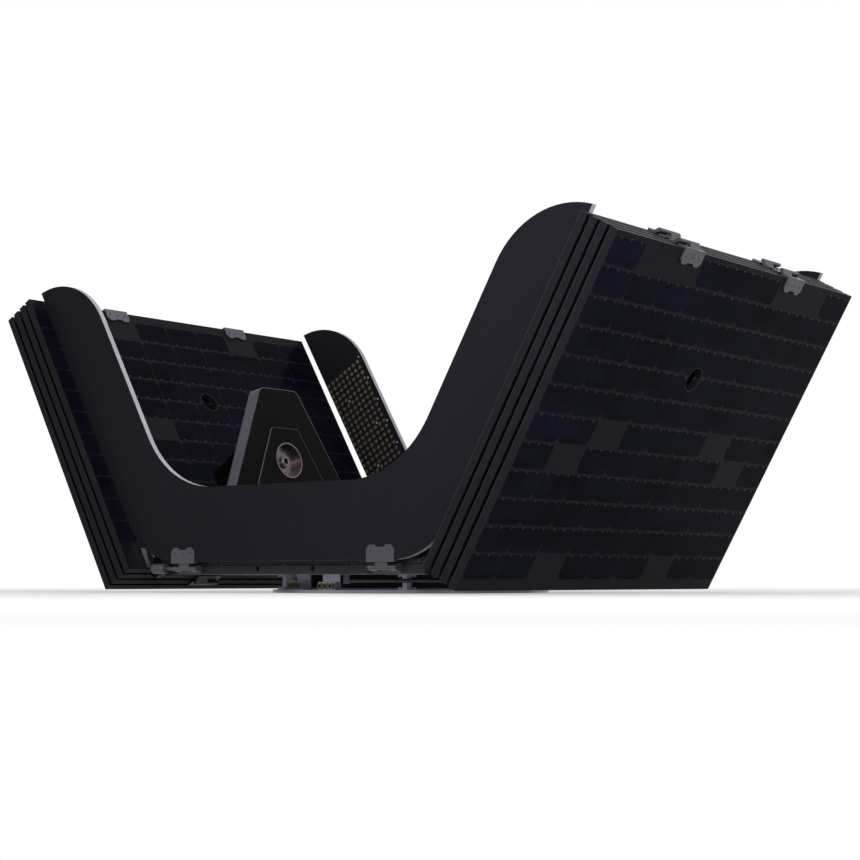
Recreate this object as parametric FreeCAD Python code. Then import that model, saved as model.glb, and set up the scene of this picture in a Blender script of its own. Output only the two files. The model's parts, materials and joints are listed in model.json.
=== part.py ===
import FreeCAD, Part
import math
import os

# A small satellite parked in its launch stance: a flat deck on a separation ring, two solar wings
# that lean out in a V with four folded panels each, and a U-shaped antenna plate at each end.
# Millimetres. X runs across the wings, Y along the panels, Z is up from the ring's bolted face.

V = FreeCAD.Vector

# solar wings
LEAN = 30.0             # lean of a stowed wing from the vertical, degrees
PANEL_LEN = 680.0       # along Y
PANEL_H = 533.6         # up the slope
PANEL_T = 12.0
PANEL_GAP = 5.6         # between stowed panels
PANELS = 4
WING_X = 301.5          # bottom edge of the innermost panel's inner face
WING_UP = 8.9           # the same edge above the deck's underside
HOLD_R = 18.0           # hold-down hole through the stack
HOLD_UP = 352.7

# fold hinges between panels
FOLD_Y = 148.0
LEAF_W = 52.0
LEAF_CAP = 3.0          # plate on the panel's edge
LEAF_FLANGE = 2.4       # plate on the panel's face
LEAF_DEPTH = 21.0
LOBE_CHAMFER = 6.0
LOBE_W = 15.5
LOBE_NOTCH = 3.5
FOLD_REACH = 7.0        # axis beyond the panel's edge
FOLD_BARREL_R = 3.0
FINGER_GAP = 0.4        # between knuckles, along the axis
PIN_CLEAR = 0.05

# root hinges between deck and innermost panel
ROOT_IN = 12.0          # axis inboard of the panel's inner face
ROOT_DOWN = 10.0        # axis below the panel's bottom edge
ROOT_INSET = 54.0       # middle of the panel's lug from the panel's end
ROOT_LUG_T = 7.0
ROOT_LUG_R = 9.0
ROOT_LUG_UP = 38.0
ROOT_LUG_PAD_W = 30.0
ROOT_LUG_PAD_T = 2.4
ROOT_EAR_T = 8.0
ROOT_EAR_R = 11.0
ROOT_EAR_IN = 34.0      # foot of the ear on the deck
ROOT_EAR_FOOT_H = 9.0
ROOT_EAR_PEAK = (-2.0, 35.0)    # from the axis
ROOT_PIN_R = 4.0
ROOT_GAP = 0.5
ACTUATOR_R = 10.0
ACTUATOR_LEN = 44.0

# deck
DECK_TO_WING = 29.5     # side of the deck to the wing's foot
DECK_INSET_FRONT = 42.5     # from the panels' front end
DECK_INSET_BACK = 1.0
DECK_Z = 28.7
DECK_T = 24.0
RAIL_T = 12.0
RAIL_HOLE_R = 4.0
RAIL_HOLE_DEEP = 6.0
RAIL_HOLE_X = 57.0
RAIL_HOLE_Z = 8.5
RAIL_COVER_W = 104.0
RAIL_COVER_H = 7.0
RAIL_COVER_DEEP = 0.8

# separation ring and what carries it
RING_R = 224.7
RING_W = 46.3
RING_T = 5.0
BOLT_INSET = 34.2       # from the ring's rim, like the posts'
BOLT_HOLE_R = 3.4
BOLTS = 12
POST_R = 8.0            # across the corners of the hexagon
POST_FOOT_R = 16.0
POST_FOOT_T = 3.5
POST_INSET = 21.7
POST_ANGLES = (27.0, 52.0, 128.0, 153.0, 207.0, 232.0, 308.0, 333.0)

# equipment under the deck
BELLY_CLEAR = 20.3      # corner of the box to the rim of the ring's hole
BELLY_ASPECT = 229.0 / 218.0
BELLY_Z = 4.4
BELLY_COVER_T = 3.0
BELLY_COVER_LIP = 4.0
BELLY_COVER_R = 6.0
SWITCH_SIZE = (26.0, 44.0)
SWITCH_INSET = 22.7
PLUG_BRACKET_T = 3.0
TUBE_R = 3.0
TUBE_Z = 19.0
TUBE_ENDS = ((66.0, -232.0), (236.0, -92.0))
TUBE_FITTING = 9.0

# avionics on the deck
AVIONICS = (300.0, 330.0, 96.0)
AVIONICS_Y = 20.0
AVIONICS_R = 8.0
AVIONICS_LID_T = 6.0
AVIONICS_LID_LIP = 4.0
AVIONICS_RIBS = 6
AVIONICS_RIB_T = 5.0
AVIONICS_RIB_H = 4.0

# pylons that brace the wings
PYLON_INSET = 32.0      # from the side of the deck
PYLON_LEAN = 12.0
PYLON_T = 24.0
PYLON_TOP_Z = 362.0
PYLON_TOP_HALF = 46.0
PYLON_SLOPE = 0.51      # half-width gained per millimetre down
PYLON_TOP_R = 15.0
PYLON_PAD_DROP = 72.0
PYLON_PAD_IN = 50.0
PYLON_PAD_T = 2.0
PYLON_PAD_LOW = 30.0    # foot of the pad above the deck
PYLON_PAD_R = 7.0
RIB_Y = 97.0
RIB_T = 8.0
RIB_OFF = 32.0          # outer edge from the panel's inner face
RIB_TOP = 175.0         # outer end, up the slope
RIB_RISE = 42.0         # inner end above the outer one
HUB_DROP = 134.0        # below the pylon's top
HUB_R = 32.0
HUB_WALL = 2.5
HUB_DEEP = 14.0
HUB_FLOOR = 4.0
HUB_BOSS_R = 11.0
HUB_BOSS_H = 5.0

# antenna plates
ANT_T = 9.0
ANT_STAND_OFF = 16.0    # outer face of a plate from the rail's face
ANT_LAP = 4.0           # bottom edge below the deck's top
ANT_GAP_FOOT = 9.0      # from the wing's inner face, at its bottom edge
ANT_GAP_TIP = 6.0       # the same at the tip
ANT_OVER = 11.4         # tip beyond the panels' top edge
ANT_ARM = 107.5
ANT_END_R = 134.0
ANT_CROTCH_R = 170.0
ANT_WEB_TOP = 165.0
ANT_FOOT_R = 130.0
ANT_HINGE_X = 204.0
ANT_AXIS_DOWN = 10.7
ANT_LEAF_DEPTH = 22.0
ANT_BARREL_R = 4.0
ANT_PIN_R = 2.0
ANT_FINGER = 14.0       # length of each outer knuckle
DAMPER_R = 8.0
DAMPER_LEN = 28.0
DAMPER_SHAFT_R = 3.0
DAMPER_SHAFT_LEN = 18.0
DAMPER_SADDLE_H = 10.0

FACETS = 12             # sides of the small round parts that repeat
CAN_FACETS = 20         # sides of the larger ones
HUB_FACETS = 36

SIN = math.sin(math.radians(LEAN))
COS = math.cos(math.radians(LEAN))
PITCH = PANEL_T + PANEL_GAP
WING_Z = DECK_Z + WING_UP
DECK_TOP = DECK_Z + DECK_T
DECK_HALF_X = WING_X - DECK_TO_WING
DECK_FRONT = DECK_INSET_FRONT - PANEL_LEN / 2
DECK_BACK = PANEL_LEN / 2 - DECK_INSET_BACK
ROOT_Y = PANEL_LEN / 2 - ROOT_INSET
RING_HOLE_R = RING_R - RING_W
BOLT_R = RING_R - BOLT_INSET
POST_AT = RING_R - POST_INSET
SWITCH_AT = RING_R - SWITCH_INSET
BELLY_X = 2 * (RING_HOLE_R - BELLY_CLEAR) / math.sqrt(1 + BELLY_ASPECT ** 2)
BELLY_Y = BELLY_X * BELLY_ASPECT
PYLON_X = DECK_HALF_X - PYLON_INSET
HUB_Z = PYLON_TOP_Z - HUB_DROP
ANT_FRONT = DECK_FRONT - ANT_STAND_OFF
ANT_BACK = DECK_BACK + ANT_STAND_OFF
ANT_Z = DECK_TOP - ANT_LAP
ANT_TIP = PANEL_H + ANT_OVER


def box(x0, x1, y0, y1, z0, z1):
    return Part.makeBox(x1 - x0, y1 - y0, z1 - z0, V(x0, y0, z0))


def prism(points, y0, y1):
    """Extrude a closed outline of (x, z) points along Y."""
    ring = [V(x, y0, z) for x, z in points]
    face = Part.Face(Part.makePolygon(ring + ring[:1]))
    return face.extrude(V(0, y1 - y0, 0))


def rod(radius, length, x, y, z, axis):
    return Part.makeCylinder(radius, length, V(x, y, z), axis)


def faceted(sides, radius, length, x, y, z, axis):
    """A rod with flat sides; radius is measured to its corners."""
    turns = [2 * math.pi * i / sides for i in range(sides)]
    corners = [V(radius * math.cos(a), radius * math.sin(a), 0) for a in turns]
    solid = Part.Face(Part.makePolygon(corners + corners[:1])).extrude(V(0, 0, length))
    solid.Placement = FreeCAD.Placement(V(x, y, z), FreeCAD.Rotation(V(0, 0, 1), axis))
    return solid


def fused(shapes):
    return shapes[0].multiFuse(shapes[1:]).removeSplitter()


def mirrored(shape):
    return shape.mirror(V(0, 0, 0), V(1, 0, 0))


def on_wing(shape):
    """Local X is the panel's outward normal and local Z runs up its slope."""
    placed = shape.copy()
    placed.rotate(V(0, 0, 0), V(0, 1, 0), LEAN)
    placed.translate(V(WING_X, 0, WING_Z))
    return placed


def wing_point(normal, slope):
    x = WING_X + normal * COS + slope * SIN
    z = WING_Z - normal * SIN + slope * COS
    return x, z


def round_corner(before, corner, after, radius):
    """Tangent points and middle of the arc that rounds a corner of an (x, z) outline."""
    a = V(before[0], 0, before[1]) - V(corner[0], 0, corner[1])
    b = V(after[0], 0, after[1]) - V(corner[0], 0, corner[1])
    a.normalize()
    b.normalize()
    half = a.getAngle(b) / 2
    run = radius / math.tan(half)
    centre_way = a + b
    centre_way.normalize()
    at = V(corner[0], 0, corner[1])
    middle = at + centre_way * (radius / math.sin(half) - radius)
    return at + a * run, middle, at + b * run


def outline_solid(edges, y0, y1):
    wire = Part.Wire(Part.__sortEdges__(edges))
    face = Part.Face(wire)
    face.translate(V(0, y0, 0))
    return face.extrude(V(0, y1 - y0, 0))


def rounded_outline(points, radii):
    """Edges of a closed outline of (x, z) points, each corner rounded by its radius."""
    count = len(points)
    marks = []
    for i in range(count):
        before, corner, after = points[i - 1], points[i], points[(i + 1) % count]
        if radii[i] > 0:
            marks.append(round_corner(before, corner, after, radii[i]))
        else:
            at = V(corner[0], 0, corner[1])
            marks.append((at, None, at))
    edges = []
    for i in range(count):
        start, middle, end = marks[i]
        if middle is not None:
            edges.append(Part.Arc(start, middle, end).toShape())
        following = marks[(i + 1) % count][0]
        if end.distanceToPoint(following) > 1e-6:
            edges.append(Part.LineSegment(end, following).toShape())
    return edges


# ---- hinges ---------------------------------------------------------------------------------

def lobed_flange(depth, thickness, n_face, side, u_edge, way):
    """Face plate of a hinge leaf: chamfered corners and a shallow notch between two lobes."""
    half = LEAF_W / 2
    right = [
        (half - LOBE_W - LOBE_NOTCH, depth - LOBE_NOTCH),
        (half - LOBE_W, depth),
        (half - LOBE_CHAMFER, depth),
        (half, depth - LOBE_CHAMFER),
        (half, 0),
    ]
    left = [(-y, down) for y, down in reversed(right)]
    corners = [V(n_face, y, u_edge - way * down) for y, down in left + right]
    face = Part.Face(Part.makePolygon(corners + corners[:1]))
    return [face.extrude(V(side * thickness, 0, 0))]


def knuckle(side, way, y0, y1, n_axis, u_axis, barrel_r, from_n, cap_u):
    """A barrel round the axis and the web that joins it to its leaf; the pin is closed inside."""
    web = [
        (from_n, cap_u),
        (from_n + side * barrel_r * 1.8, cap_u),
        (n_axis + side * barrel_r * 0.7, u_axis + way * barrel_r * 0.7),
        (n_axis, u_axis),
        (n_axis - side * barrel_r * 0.1, u_axis - way * barrel_r * 0.9),
    ]
    barrel = faceted(FACETS, barrel_r, y1 - y0, n_axis, y0, u_axis, V(0, 1, 0))
    return fused([prism(web, y0, y1), barrel])


def fold_leaf(n_near, side, u_edge, way, hand, flange):
    """Leaf on the edge of one panel; n_near is the panel's face beside the hinge's gap.

    Each leaf has one knuckle, and the leaf of the next panel has the other, at the other hand.
    """
    n_axis = n_near - side * PANEL_GAP / 2
    u_axis = u_edge + way * FOLD_REACH
    n_far = n_near + side * (PANEL_T + (LEAF_FLANGE if flange else 0))
    n0, n1 = sorted((n_near, n_far))
    u0, u1 = sorted((u_edge, u_edge + way * LEAF_CAP))
    parts = [box(n0, n1, -LEAF_W / 2, LEAF_W / 2, u0, u1)]
    if flange:
        parts += lobed_flange(LEAF_DEPTH, LEAF_FLANGE, n_near + side * PANEL_T, side, u_edge, way)
    y0, y1 = sorted((hand * FINGER_GAP / 2, hand * LEAF_W / 2))
    cap_u = u_edge + way * LEAF_CAP * 0.7
    parts.append(knuckle(side, way, y0, y1, n_axis, u_axis, FOLD_BARREL_R, n_near, cap_u))
    return fused(parts)


def at_folds(n_near, side, u_edge, way, first, flange):
    """A handed pair of leaves; the first panel of a fold has the outer knuckles."""
    leaves = []
    for end in (-1, 1):
        hand = end if first else -end
        leaf = fold_leaf(n_near, side, u_edge, way, hand, flange)
        leaves.append(leaf.translated(V(0, end * FOLD_Y, 0)))
    return leaves


def root_lug():
    """Lug on the innermost panel, with its pad on the panel's inner face."""
    lug = fused([
        prism([
            (-ROOT_IN, -ROOT_DOWN - ROOT_LUG_R),
            (-ROOT_IN + ROOT_LUG_R, -ROOT_DOWN),
            (-0.0, -0.0),
            (-0.0, ROOT_LUG_UP),
            (-ROOT_LUG_PAD_T, ROOT_LUG_UP),
            (-ROOT_IN - ROOT_LUG_R * 0.9, -ROOT_DOWN + ROOT_LUG_R * 0.4),
            (-ROOT_IN - ROOT_LUG_R * 0.7, -ROOT_DOWN - ROOT_LUG_R * 0.7),
        ], -ROOT_LUG_T / 2, ROOT_LUG_T / 2),
        faceted(CAN_FACETS, ROOT_LUG_R, ROOT_LUG_T, -ROOT_IN, -ROOT_LUG_T / 2, -ROOT_DOWN,
                V(0, 1, 0)),
        box(-ROOT_LUG_PAD_T, 0, -ROOT_LUG_PAD_W / 2, ROOT_LUG_PAD_W / 2, 2.0, ROOT_LUG_UP),
    ])
    bore = rod(ROOT_PIN_R + PIN_CLEAR, ROOT_LUG_T + 2, -ROOT_IN, -ROOT_LUG_T / 2 - 1, -ROOT_DOWN,
               V(0, 1, 0))
    return lug.cut(bore)


# ---- solar wings ----------------------------------------------------------------------------

def panel(index):
    n0 = index * PITCH
    plate = box(n0, n0 + PANEL_T, -PANEL_LEN / 2, PANEL_LEN / 2, 0, PANEL_H)
    return plate.cut(rod(HOLD_R, PANEL_T + 2, n0 - 1, 0, HOLD_UP, V(1, 0, 0)))


def panel_hinges(index):
    """All leaves that one panel carries. Panels 1-2 and 3-4 fold at the top, 2-3 at the bottom."""
    n0 = index * PITCH
    outermost = index == PANELS - 1
    leaves = []
    if index % 2 == 0:
        leaves += at_folds(n0 + PANEL_T, -1, PANEL_H, 1, True, index == 0)
    else:
        leaves += at_folds(n0, 1, PANEL_H, 1, False, outermost)
    if index % 2 == 1 and not outermost:
        leaves += at_folds(n0 + PANEL_T, -1, 0, -1, True, False)
    if index % 2 == 0 and index > 0:
        leaves += at_folds(n0, 1, 0, -1, False, False)
    return leaves


# ---- root brackets and actuators ------------------------------------------------------------

def root_axis():
    return wing_point(-ROOT_IN, -ROOT_DOWN)


def root_bracket(way):
    """Ear on the deck's top that carries the pin outboard of the panel's lug."""
    ax, az = root_axis()
    y_in = ROOT_Y + ROOT_LUG_T / 2 + ROOT_GAP
    y_out = y_in + ROOT_EAR_T
    foot = DECK_HALF_X - ROOT_EAR_IN
    foot_top = DECK_TOP + ROOT_EAR_FOOT_H
    peak_x, peak_z = ax + ROOT_EAR_PEAK[0], az + ROOT_EAR_PEAK[1]
    ear = prism([
        (foot, DECK_TOP),
        (foot, DECK_TOP + ROOT_EAR_FOOT_H * 0.5),
        (foot + ROOT_EAR_FOOT_H * 0.5, foot_top),
        (peak_x - (peak_z - foot_top), foot_top),
        (peak_x, peak_z),
        (ax + ROOT_EAR_R * 0.75, az + ROOT_EAR_R * 0.66),
        (ax, az),
        (DECK_HALF_X, az),
        (DECK_HALF_X, DECK_TOP),
    ], y_in, y_out)
    eye = faceted(CAN_FACETS, ROOT_EAR_R, ROOT_EAR_T, ax, y_in, az, V(0, 1, 0))
    body = fused([ear, eye]).cut(box(0, DECK_HALF_X, y_in - 1, y_out + 1, 0, DECK_TOP))
    pin_from = ROOT_Y - ROOT_LUG_T / 2 - ROOT_GAP - 2
    pin = rod(ROOT_PIN_R, y_out - pin_from, ax, pin_from, az, V(0, 1, 0))
    both = fused([body, pin])
    return both if way > 0 else both.mirror(V(0, 0, 0), V(0, 1, 0))


def root_actuator(way):
    """Spring and damper can on the hinge axis, inboard of the lug, in a saddle on the deck's side."""
    ax, az = root_axis()
    y_end = ROOT_Y - ROOT_LUG_T / 2 - ROOT_GAP
    y_start = y_end - ACTUATOR_LEN
    can = faceted(CAN_FACETS, ACTUATOR_R, ACTUATOR_LEN, ax, y_start, az, V(0, 1, 0))
    saddle = box(DECK_HALF_X, ax, y_start + 8, y_end - 8, DECK_Z, az)
    seat = rod(ROOT_PIN_R, 2.0, ax, y_end - 2.0, az, V(0, 1, 0))
    body = fused([can, saddle]).cut(seat)
    return body if way > 0 else body.mirror(V(0, 0, 0), V(0, 1, 0))


# ---- antenna plates -------------------------------------------------------------------------

def antenna_line(gap_offset):
    """Two points of a line beside the wing, offset inward; the edge tapers from foot to tip."""
    low = wing_point(-ANT_GAP_FOOT - gap_offset, 0)
    high = wing_point(-ANT_GAP_TIP - gap_offset, ANT_TIP)
    return low, high


def line_at_z(low, high, z):
    share = (z - low[1]) / (high[1] - low[1])
    return low[0] + share * (high[0] - low[0]), z


def antenna_plate(y_outer, y_inner):
    """U-shaped plate: a straight web, two arms parallel to the wings and quarter-round tips."""
    low, tip = antenna_line(0)
    inner_low, inner_high = antenna_line(ANT_ARM)
    foot = line_at_z(low, tip, ANT_Z)
    crotch = line_at_z(inner_low, inner_high, ANT_WEB_TOP)
    along = V(inner_high[0] - inner_low[0], 0, inner_high[1] - inner_low[1])
    along.normalize()
    inward = V(-along.z, 0, along.x)
    # the tip's arc is tangent to the arm's inner edge and ends on its outer edge
    offset = ANT_END_R - ANT_ARM
    drop = math.sqrt(ANT_END_R ** 2 - offset ** 2)
    tip_v = V(tip[0], 0, tip[1])
    centre = tip_v - along * drop - inward * offset
    tangent = centre + inward * ANT_END_R
    start_way = tip_v - centre
    end_way = tangent - centre
    middle_way = start_way + end_way
    middle_way.normalize()
    middle = centre + middle_way * ANT_END_R
    f0, fm, f1 = round_corner((0, ANT_Z), foot, tip, ANT_FOOT_R)
    c0, cm, c1 = round_corner((tangent.x, tangent.z), crotch, (0, ANT_WEB_TOP), ANT_CROTCH_R)
    half = [
        Part.Arc(f0, fm, f1).toShape(),
        Part.LineSegment(f1, tip_v).toShape(),
        Part.Arc(tip_v, middle, tangent).toShape(),
        Part.LineSegment(tangent, c0).toShape(),
        Part.Arc(c0, cm, c1).toShape(),
    ]
    other = [edge.mirror(V(0, 0, 0), V(1, 0, 0)) for edge in half]
    closing = [
        Part.LineSegment(V(-f0.x, 0, ANT_Z), V(f0.x, 0, ANT_Z)).toShape(),
        Part.LineSegment(V(-c1.x, 0, ANT_WEB_TOP), V(c1.x, 0, ANT_WEB_TOP)).toShape(),
    ]
    y0, y1 = sorted((y_outer, y_inner))
    return outline_solid(half + other + closing, y0, y1)


def antenna_leaf():
    """Moving leaf, local: outer face at x 0, bottom edge at z 0, plate towards -x."""
    parts = lobed_flange(ANT_LEAF_DEPTH, LEAF_FLANGE, 0, 1, 0, -1)
    parts.append(box(-ANT_T, LEAF_FLANGE, -LEAF_W / 2, LEAF_W / 2, -LEAF_CAP, 0))
    inner = LEAF_W / 2 - ANT_FINGER
    n_axis = -ANT_T / 2
    web = prism([
        (n_axis - ANT_BARREL_R, -LEAF_CAP * 0.7),
        (n_axis + ANT_BARREL_R, -LEAF_CAP * 0.7),
        (n_axis + ANT_BARREL_R, -ANT_AXIS_DOWN),
        (n_axis - ANT_BARREL_R, -ANT_AXIS_DOWN),
    ], -inner + FINGER_GAP, inner - FINGER_GAP)
    barrel = faceted(FACETS, ANT_BARREL_R, 2 * (inner - FINGER_GAP), n_axis, -inner + FINGER_GAP,
                     -ANT_AXIS_DOWN, V(0, 1, 0))
    bore = rod(ANT_PIN_R + PIN_CLEAR, LEAF_W, n_axis, -LEAF_W / 2, -ANT_AXIS_DOWN, V(0, 1, 0))
    return fused(parts + [web, barrel]).cut(bore)


def antenna_damper(rail_gap):
    """Round damper beside a fixed leaf, on the end of its pin, with a saddle on the rail."""
    n_axis = -ANT_T / 2
    shaft_end = -LEAF_W / 2 - DAMPER_SHAFT_LEN
    middle = shaft_end - DAMPER_LEN / 2
    half = DAMPER_SADDLE_H / 2
    return [
        faceted(FACETS, DAMPER_SHAFT_R, DAMPER_SHAFT_LEN + 1, n_axis, shaft_end - 1,
                -ANT_AXIS_DOWN, V(0, 1, 0)),
        faceted(CAN_FACETS, DAMPER_R, DAMPER_LEN, n_axis, shaft_end - DAMPER_LEN, -ANT_AXIS_DOWN,
                V(0, 1, 0)),
        box(-rail_gap, n_axis, middle - half, middle + half, -ANT_AXIS_DOWN - half,
            -ANT_AXIS_DOWN + half),
    ]


def antenna_fixed_leaf(rail_gap):
    """Fixed leaf on the rail's face, which lies rail_gap behind the plate's outer face."""
    base_top = -ANT_AXIS_DOWN + ANT_BARREL_R + 2
    base_low = DECK_Z - ANT_Z + 1.0
    parts = [box(-rail_gap, -rail_gap + LEAF_FLANGE, -LEAF_W / 2, LEAF_W / 2, base_low, base_top)]
    inner = LEAF_W / 2 - ANT_FINGER
    n_axis = -ANT_T / 2
    for y0, y1 in ((-LEAF_W / 2, -inner), (inner, LEAF_W / 2)):
        parts.append(prism([
            (-rail_gap + LEAF_FLANGE * 0.5, base_low + 2),
            (n_axis, -ANT_AXIS_DOWN - ANT_BARREL_R),
            (n_axis, -ANT_AXIS_DOWN + ANT_BARREL_R),
            (-rail_gap + LEAF_FLANGE * 0.5, base_top - 1),
        ], y0, y1))
        parts.append(faceted(FACETS, ANT_BARREL_R, y1 - y0, n_axis, y0, -ANT_AXIS_DOWN,
                             V(0, 1, 0)))
    parts.append(rod(ANT_PIN_R, LEAF_W, n_axis, -LEAF_W / 2, -ANT_AXIS_DOWN, V(0, 1, 0)))
    return fused(parts)


def at_antenna(shapes, front):
    """Puts two leaves at a plate's hinges; the first goes to the end that has the damper."""
    turn, way, face = (-90, -1, ANT_FRONT) if front else (90, 1, ANT_BACK)
    placed = []
    for shape, x in zip(shapes, (way * ANT_HINGE_X, -way * ANT_HINGE_X)):
        one = shape.copy()
        one.rotate(V(0, 0, 0), V(0, 0, 1), turn)
        one.translate(V(x, face, ANT_Z))
        placed.append(one)
    return placed


# ---- deck, ring and equipment ---------------------------------------------------------------

def edge_rail(front):
    """Closing member along one end of the deck, with two insert holes and two shallow covers."""
    face = DECK_FRONT if front else DECK_BACK
    inward = 1 if front else -1
    y0, y1 = sorted((face, face + inward * RAIL_T))
    rail = box(-DECK_HALF_X, DECK_HALF_X, y0, y1, DECK_Z, DECK_TOP)
    cuts = []
    for x in (-RAIL_HOLE_X, RAIL_HOLE_X):
        start = face - inward
        cuts.append(rod(RAIL_HOLE_R, RAIL_HOLE_DEEP + 1, x, start, DECK_Z + RAIL_HOLE_Z,
                        V(0, inward, 0)))
        c0, c1 = sorted((face - inward, face + inward * RAIL_COVER_DEEP))
        high = DECK_TOP - RAIL_COVER_H / 2
        cuts.append(box(x - RAIL_COVER_W / 2, x + RAIL_COVER_W / 2, c0, c1,
                        high - RAIL_COVER_H, high))
    for cut in cuts:
        rail = rail.cut(cut)
    return rail


def separation_ring():
    ring = rod(RING_R, RING_T, 0, 0, 0, V(0, 0, 1)).cut(
        rod(RING_HOLE_R, RING_T + 2, 0, 0, -1, V(0, 0, 1)))
    holes = []
    for i in range(BOLTS):
        a = math.radians(360.0 * (i + 0.5) / BOLTS)
        holes.append(rod(BOLT_HOLE_R, RING_T + 2, BOLT_R * math.cos(a), BOLT_R * math.sin(a), -1,
                         V(0, 0, 1)))
    return ring.cut(Part.makeCompound(holes))


def ring_post(angle):
    """Hexagonal stand-off with a foot and a head, between the ring and the deck's underside."""
    post = fused([
        faceted(6, POST_FOOT_R, POST_FOOT_T, 0, 0, RING_T, V(0, 0, 1)),
        faceted(6, POST_R, DECK_Z - RING_T, 0, 0, RING_T, V(0, 0, 1)),
        faceted(6, POST_FOOT_R, POST_FOOT_T, 0, 0, DECK_Z - POST_FOOT_T, V(0, 0, 1)),
    ])
    post.rotate(V(0, 0, 0), V(0, 0, 1), angle)
    a = math.radians(angle)
    return post.translated(V(POST_AT * math.cos(a), POST_AT * math.sin(a), 0))


def rounded_block(x, y, z0, z1, radius):
    block = box(-x / 2, x / 2, -y / 2, y / 2, z0, z1)
    upright = [e for e in block.Edges if abs(e.Vertexes[0].Z - e.Vertexes[1].Z) > 1]
    return block.makeFillet(radius, upright)


def ring_connectors():
    """Umbilical plugs on the ring, each on a small bracket under the deck."""
    table = (  # name of plug, angle, width, depth, height
        ("power", 252.0, 40.0, 16.0, 13.0),
        ("data", 272.0, 34.0, 14.0, 12.0),
        ("pyro", 41.0, 30.0, 16.0, 13.0),
    )
    solids = []
    for _, angle, width, depth, height in table:
        plug = box(-depth / 2, depth / 2, -width / 2, width / 2, RING_T, RING_T + height)
        strap = box(-depth / 2, -depth / 2 + PLUG_BRACKET_T, -width / 2, width / 2,
                    RING_T, DECK_Z)
        one = fused([plug, strap])
        one.translate(V(POST_AT + 2, 0, 0))
        one.rotate(V(0, 0, 0), V(0, 0, 1), angle)
        solids.append(one)
    return solids


def switch_boxes():
    dx, dy = SWITCH_SIZE
    return [box(x - dx / 2, x + dx / 2, -dy / 2, dy / 2, RING_T, DECK_Z)
            for x in (-SWITCH_AT, SWITCH_AT)]


def feed_tube():
    """Straight propellant line under the deck, between two fittings that hang from it."""
    a, b = [V(x, y, TUBE_Z) for x, y in TUBE_ENDS]
    way = b - a
    parts = [Part.makeCylinder(TUBE_R, way.Length, a, way)]
    for end in (a, b):
        half = TUBE_FITTING / 2
        fitting = box(-half, half, -half, half, TUBE_Z - half, DECK_Z)
        fitting.rotate(V(0, 0, 0), V(0, 0, 1), math.degrees(math.atan2(way.y, way.x)))
        parts.append(fitting.translated(V(end.x, end.y, 0)))
    return fused(parts)


def avionics_module():
    """Electronics housing with a lipped lid and cooling ribs on both long sides."""
    x, y, h = AVIONICS
    lid_z = DECK_TOP + h - AVIONICS_LID_T
    parts = [box(-x / 2, x / 2, -y / 2, y / 2, DECK_TOP, lid_z)]
    lip = 2 * AVIONICS_LID_LIP
    parts.append(rounded_block(x + lip, y + lip, lid_z, lid_z + AVIONICS_LID_T, AVIONICS_R))
    pitch = (y - 4 * AVIONICS_R) / (AVIONICS_RIBS - 1)
    for i in range(AVIONICS_RIBS):
        at = -y / 2 + 2 * AVIONICS_R + i * pitch
        parts.append(box(-x / 2 - AVIONICS_RIB_H, x / 2 + AVIONICS_RIB_H, at - AVIONICS_RIB_T / 2,
                         at + AVIONICS_RIB_T / 2, DECK_TOP + 4, lid_z))
    return fused(parts).translated(V(0, AVIONICS_Y, 0))


# ---- pylons ---------------------------------------------------------------------------------

def pylon_outline(drop, inset, top_r, bottom_z, x0, x1):
    """Trapezoid in the Y-Z plane between x0 and x1, narrower towards the top."""
    top = PYLON_TOP_Z - drop
    half_top = PYLON_TOP_HALF + PYLON_SLOPE * drop - inset
    half_low = PYLON_TOP_HALF + PYLON_SLOPE * (PYLON_TOP_Z - bottom_z) - inset
    edges = rounded_outline(
        [(-half_low, bottom_z), (half_low, bottom_z), (half_top, top), (-half_top, top)],
        [0, 0, top_r, top_r])
    solid = outline_solid(edges, 0, x1 - x0)
    solid.rotate(V(0, 0, 0), V(0, 0, 1), -90)
    solid.translate(V(x0, 0, 0))
    return solid


def hub_rod(radius, depth, thickness, sides):
    """A rod on the hub's axis, from a depth below the pad's face, before the pylon leans."""
    rise = (HUB_Z - DECK_TOP) / math.cos(math.radians(PYLON_LEAN))
    return faceted(sides, radius, thickness, depth - PYLON_PAD_T, 0, DECK_TOP + rise, V(1, 0, 0))


def pylon():
    """Leaning trapezoid with a raised pad and the hub's bore, braced by two ribs at the wing."""
    below = DECK_TOP - 40
    plate = pylon_outline(0, 0, PYLON_TOP_R, below, 0, PYLON_T)
    pad = pylon_outline(PYLON_PAD_DROP, PYLON_PAD_IN, PYLON_PAD_R, DECK_TOP + PYLON_PAD_LOW,
                        -PYLON_PAD_T, PYLON_T / 2)
    bore = hub_rod(HUB_R + PIN_CLEAR, -1, HUB_DEEP + HUB_FLOOR + 1, HUB_FACETS)
    plate = fused([plate, pad]).cut(bore)
    plate.rotate(V(0, 0, DECK_TOP), V(0, 1, 0), PYLON_LEAN)
    plate.translate(V(PYLON_X, 0, 0))
    ribs = []
    tan = math.tan(math.radians(PYLON_LEAN))
    outer = wing_point(-RIB_OFF, RIB_TOP)
    foot_u = (DECK_TOP - WING_Z - RIB_OFF * SIN) / COS
    foot = (min(wing_point(-RIB_OFF, foot_u)[0], DECK_HALF_X - 1), DECK_TOP)
    back = PYLON_X + PYLON_T * 0.5
    high_z = outer[1] + RIB_RISE
    high = (back + (high_z - DECK_TOP) * tan, high_z)
    for y in (-RIB_Y, RIB_Y):
        ribs.append(prism([(back, DECK_TOP), foot, outer, high], y - RIB_T / 2, y + RIB_T / 2))
    whole = fused([plate] + ribs)
    return whole.cut(box(0, 2 * PYLON_X, -400, 400, 0, DECK_TOP))


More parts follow.
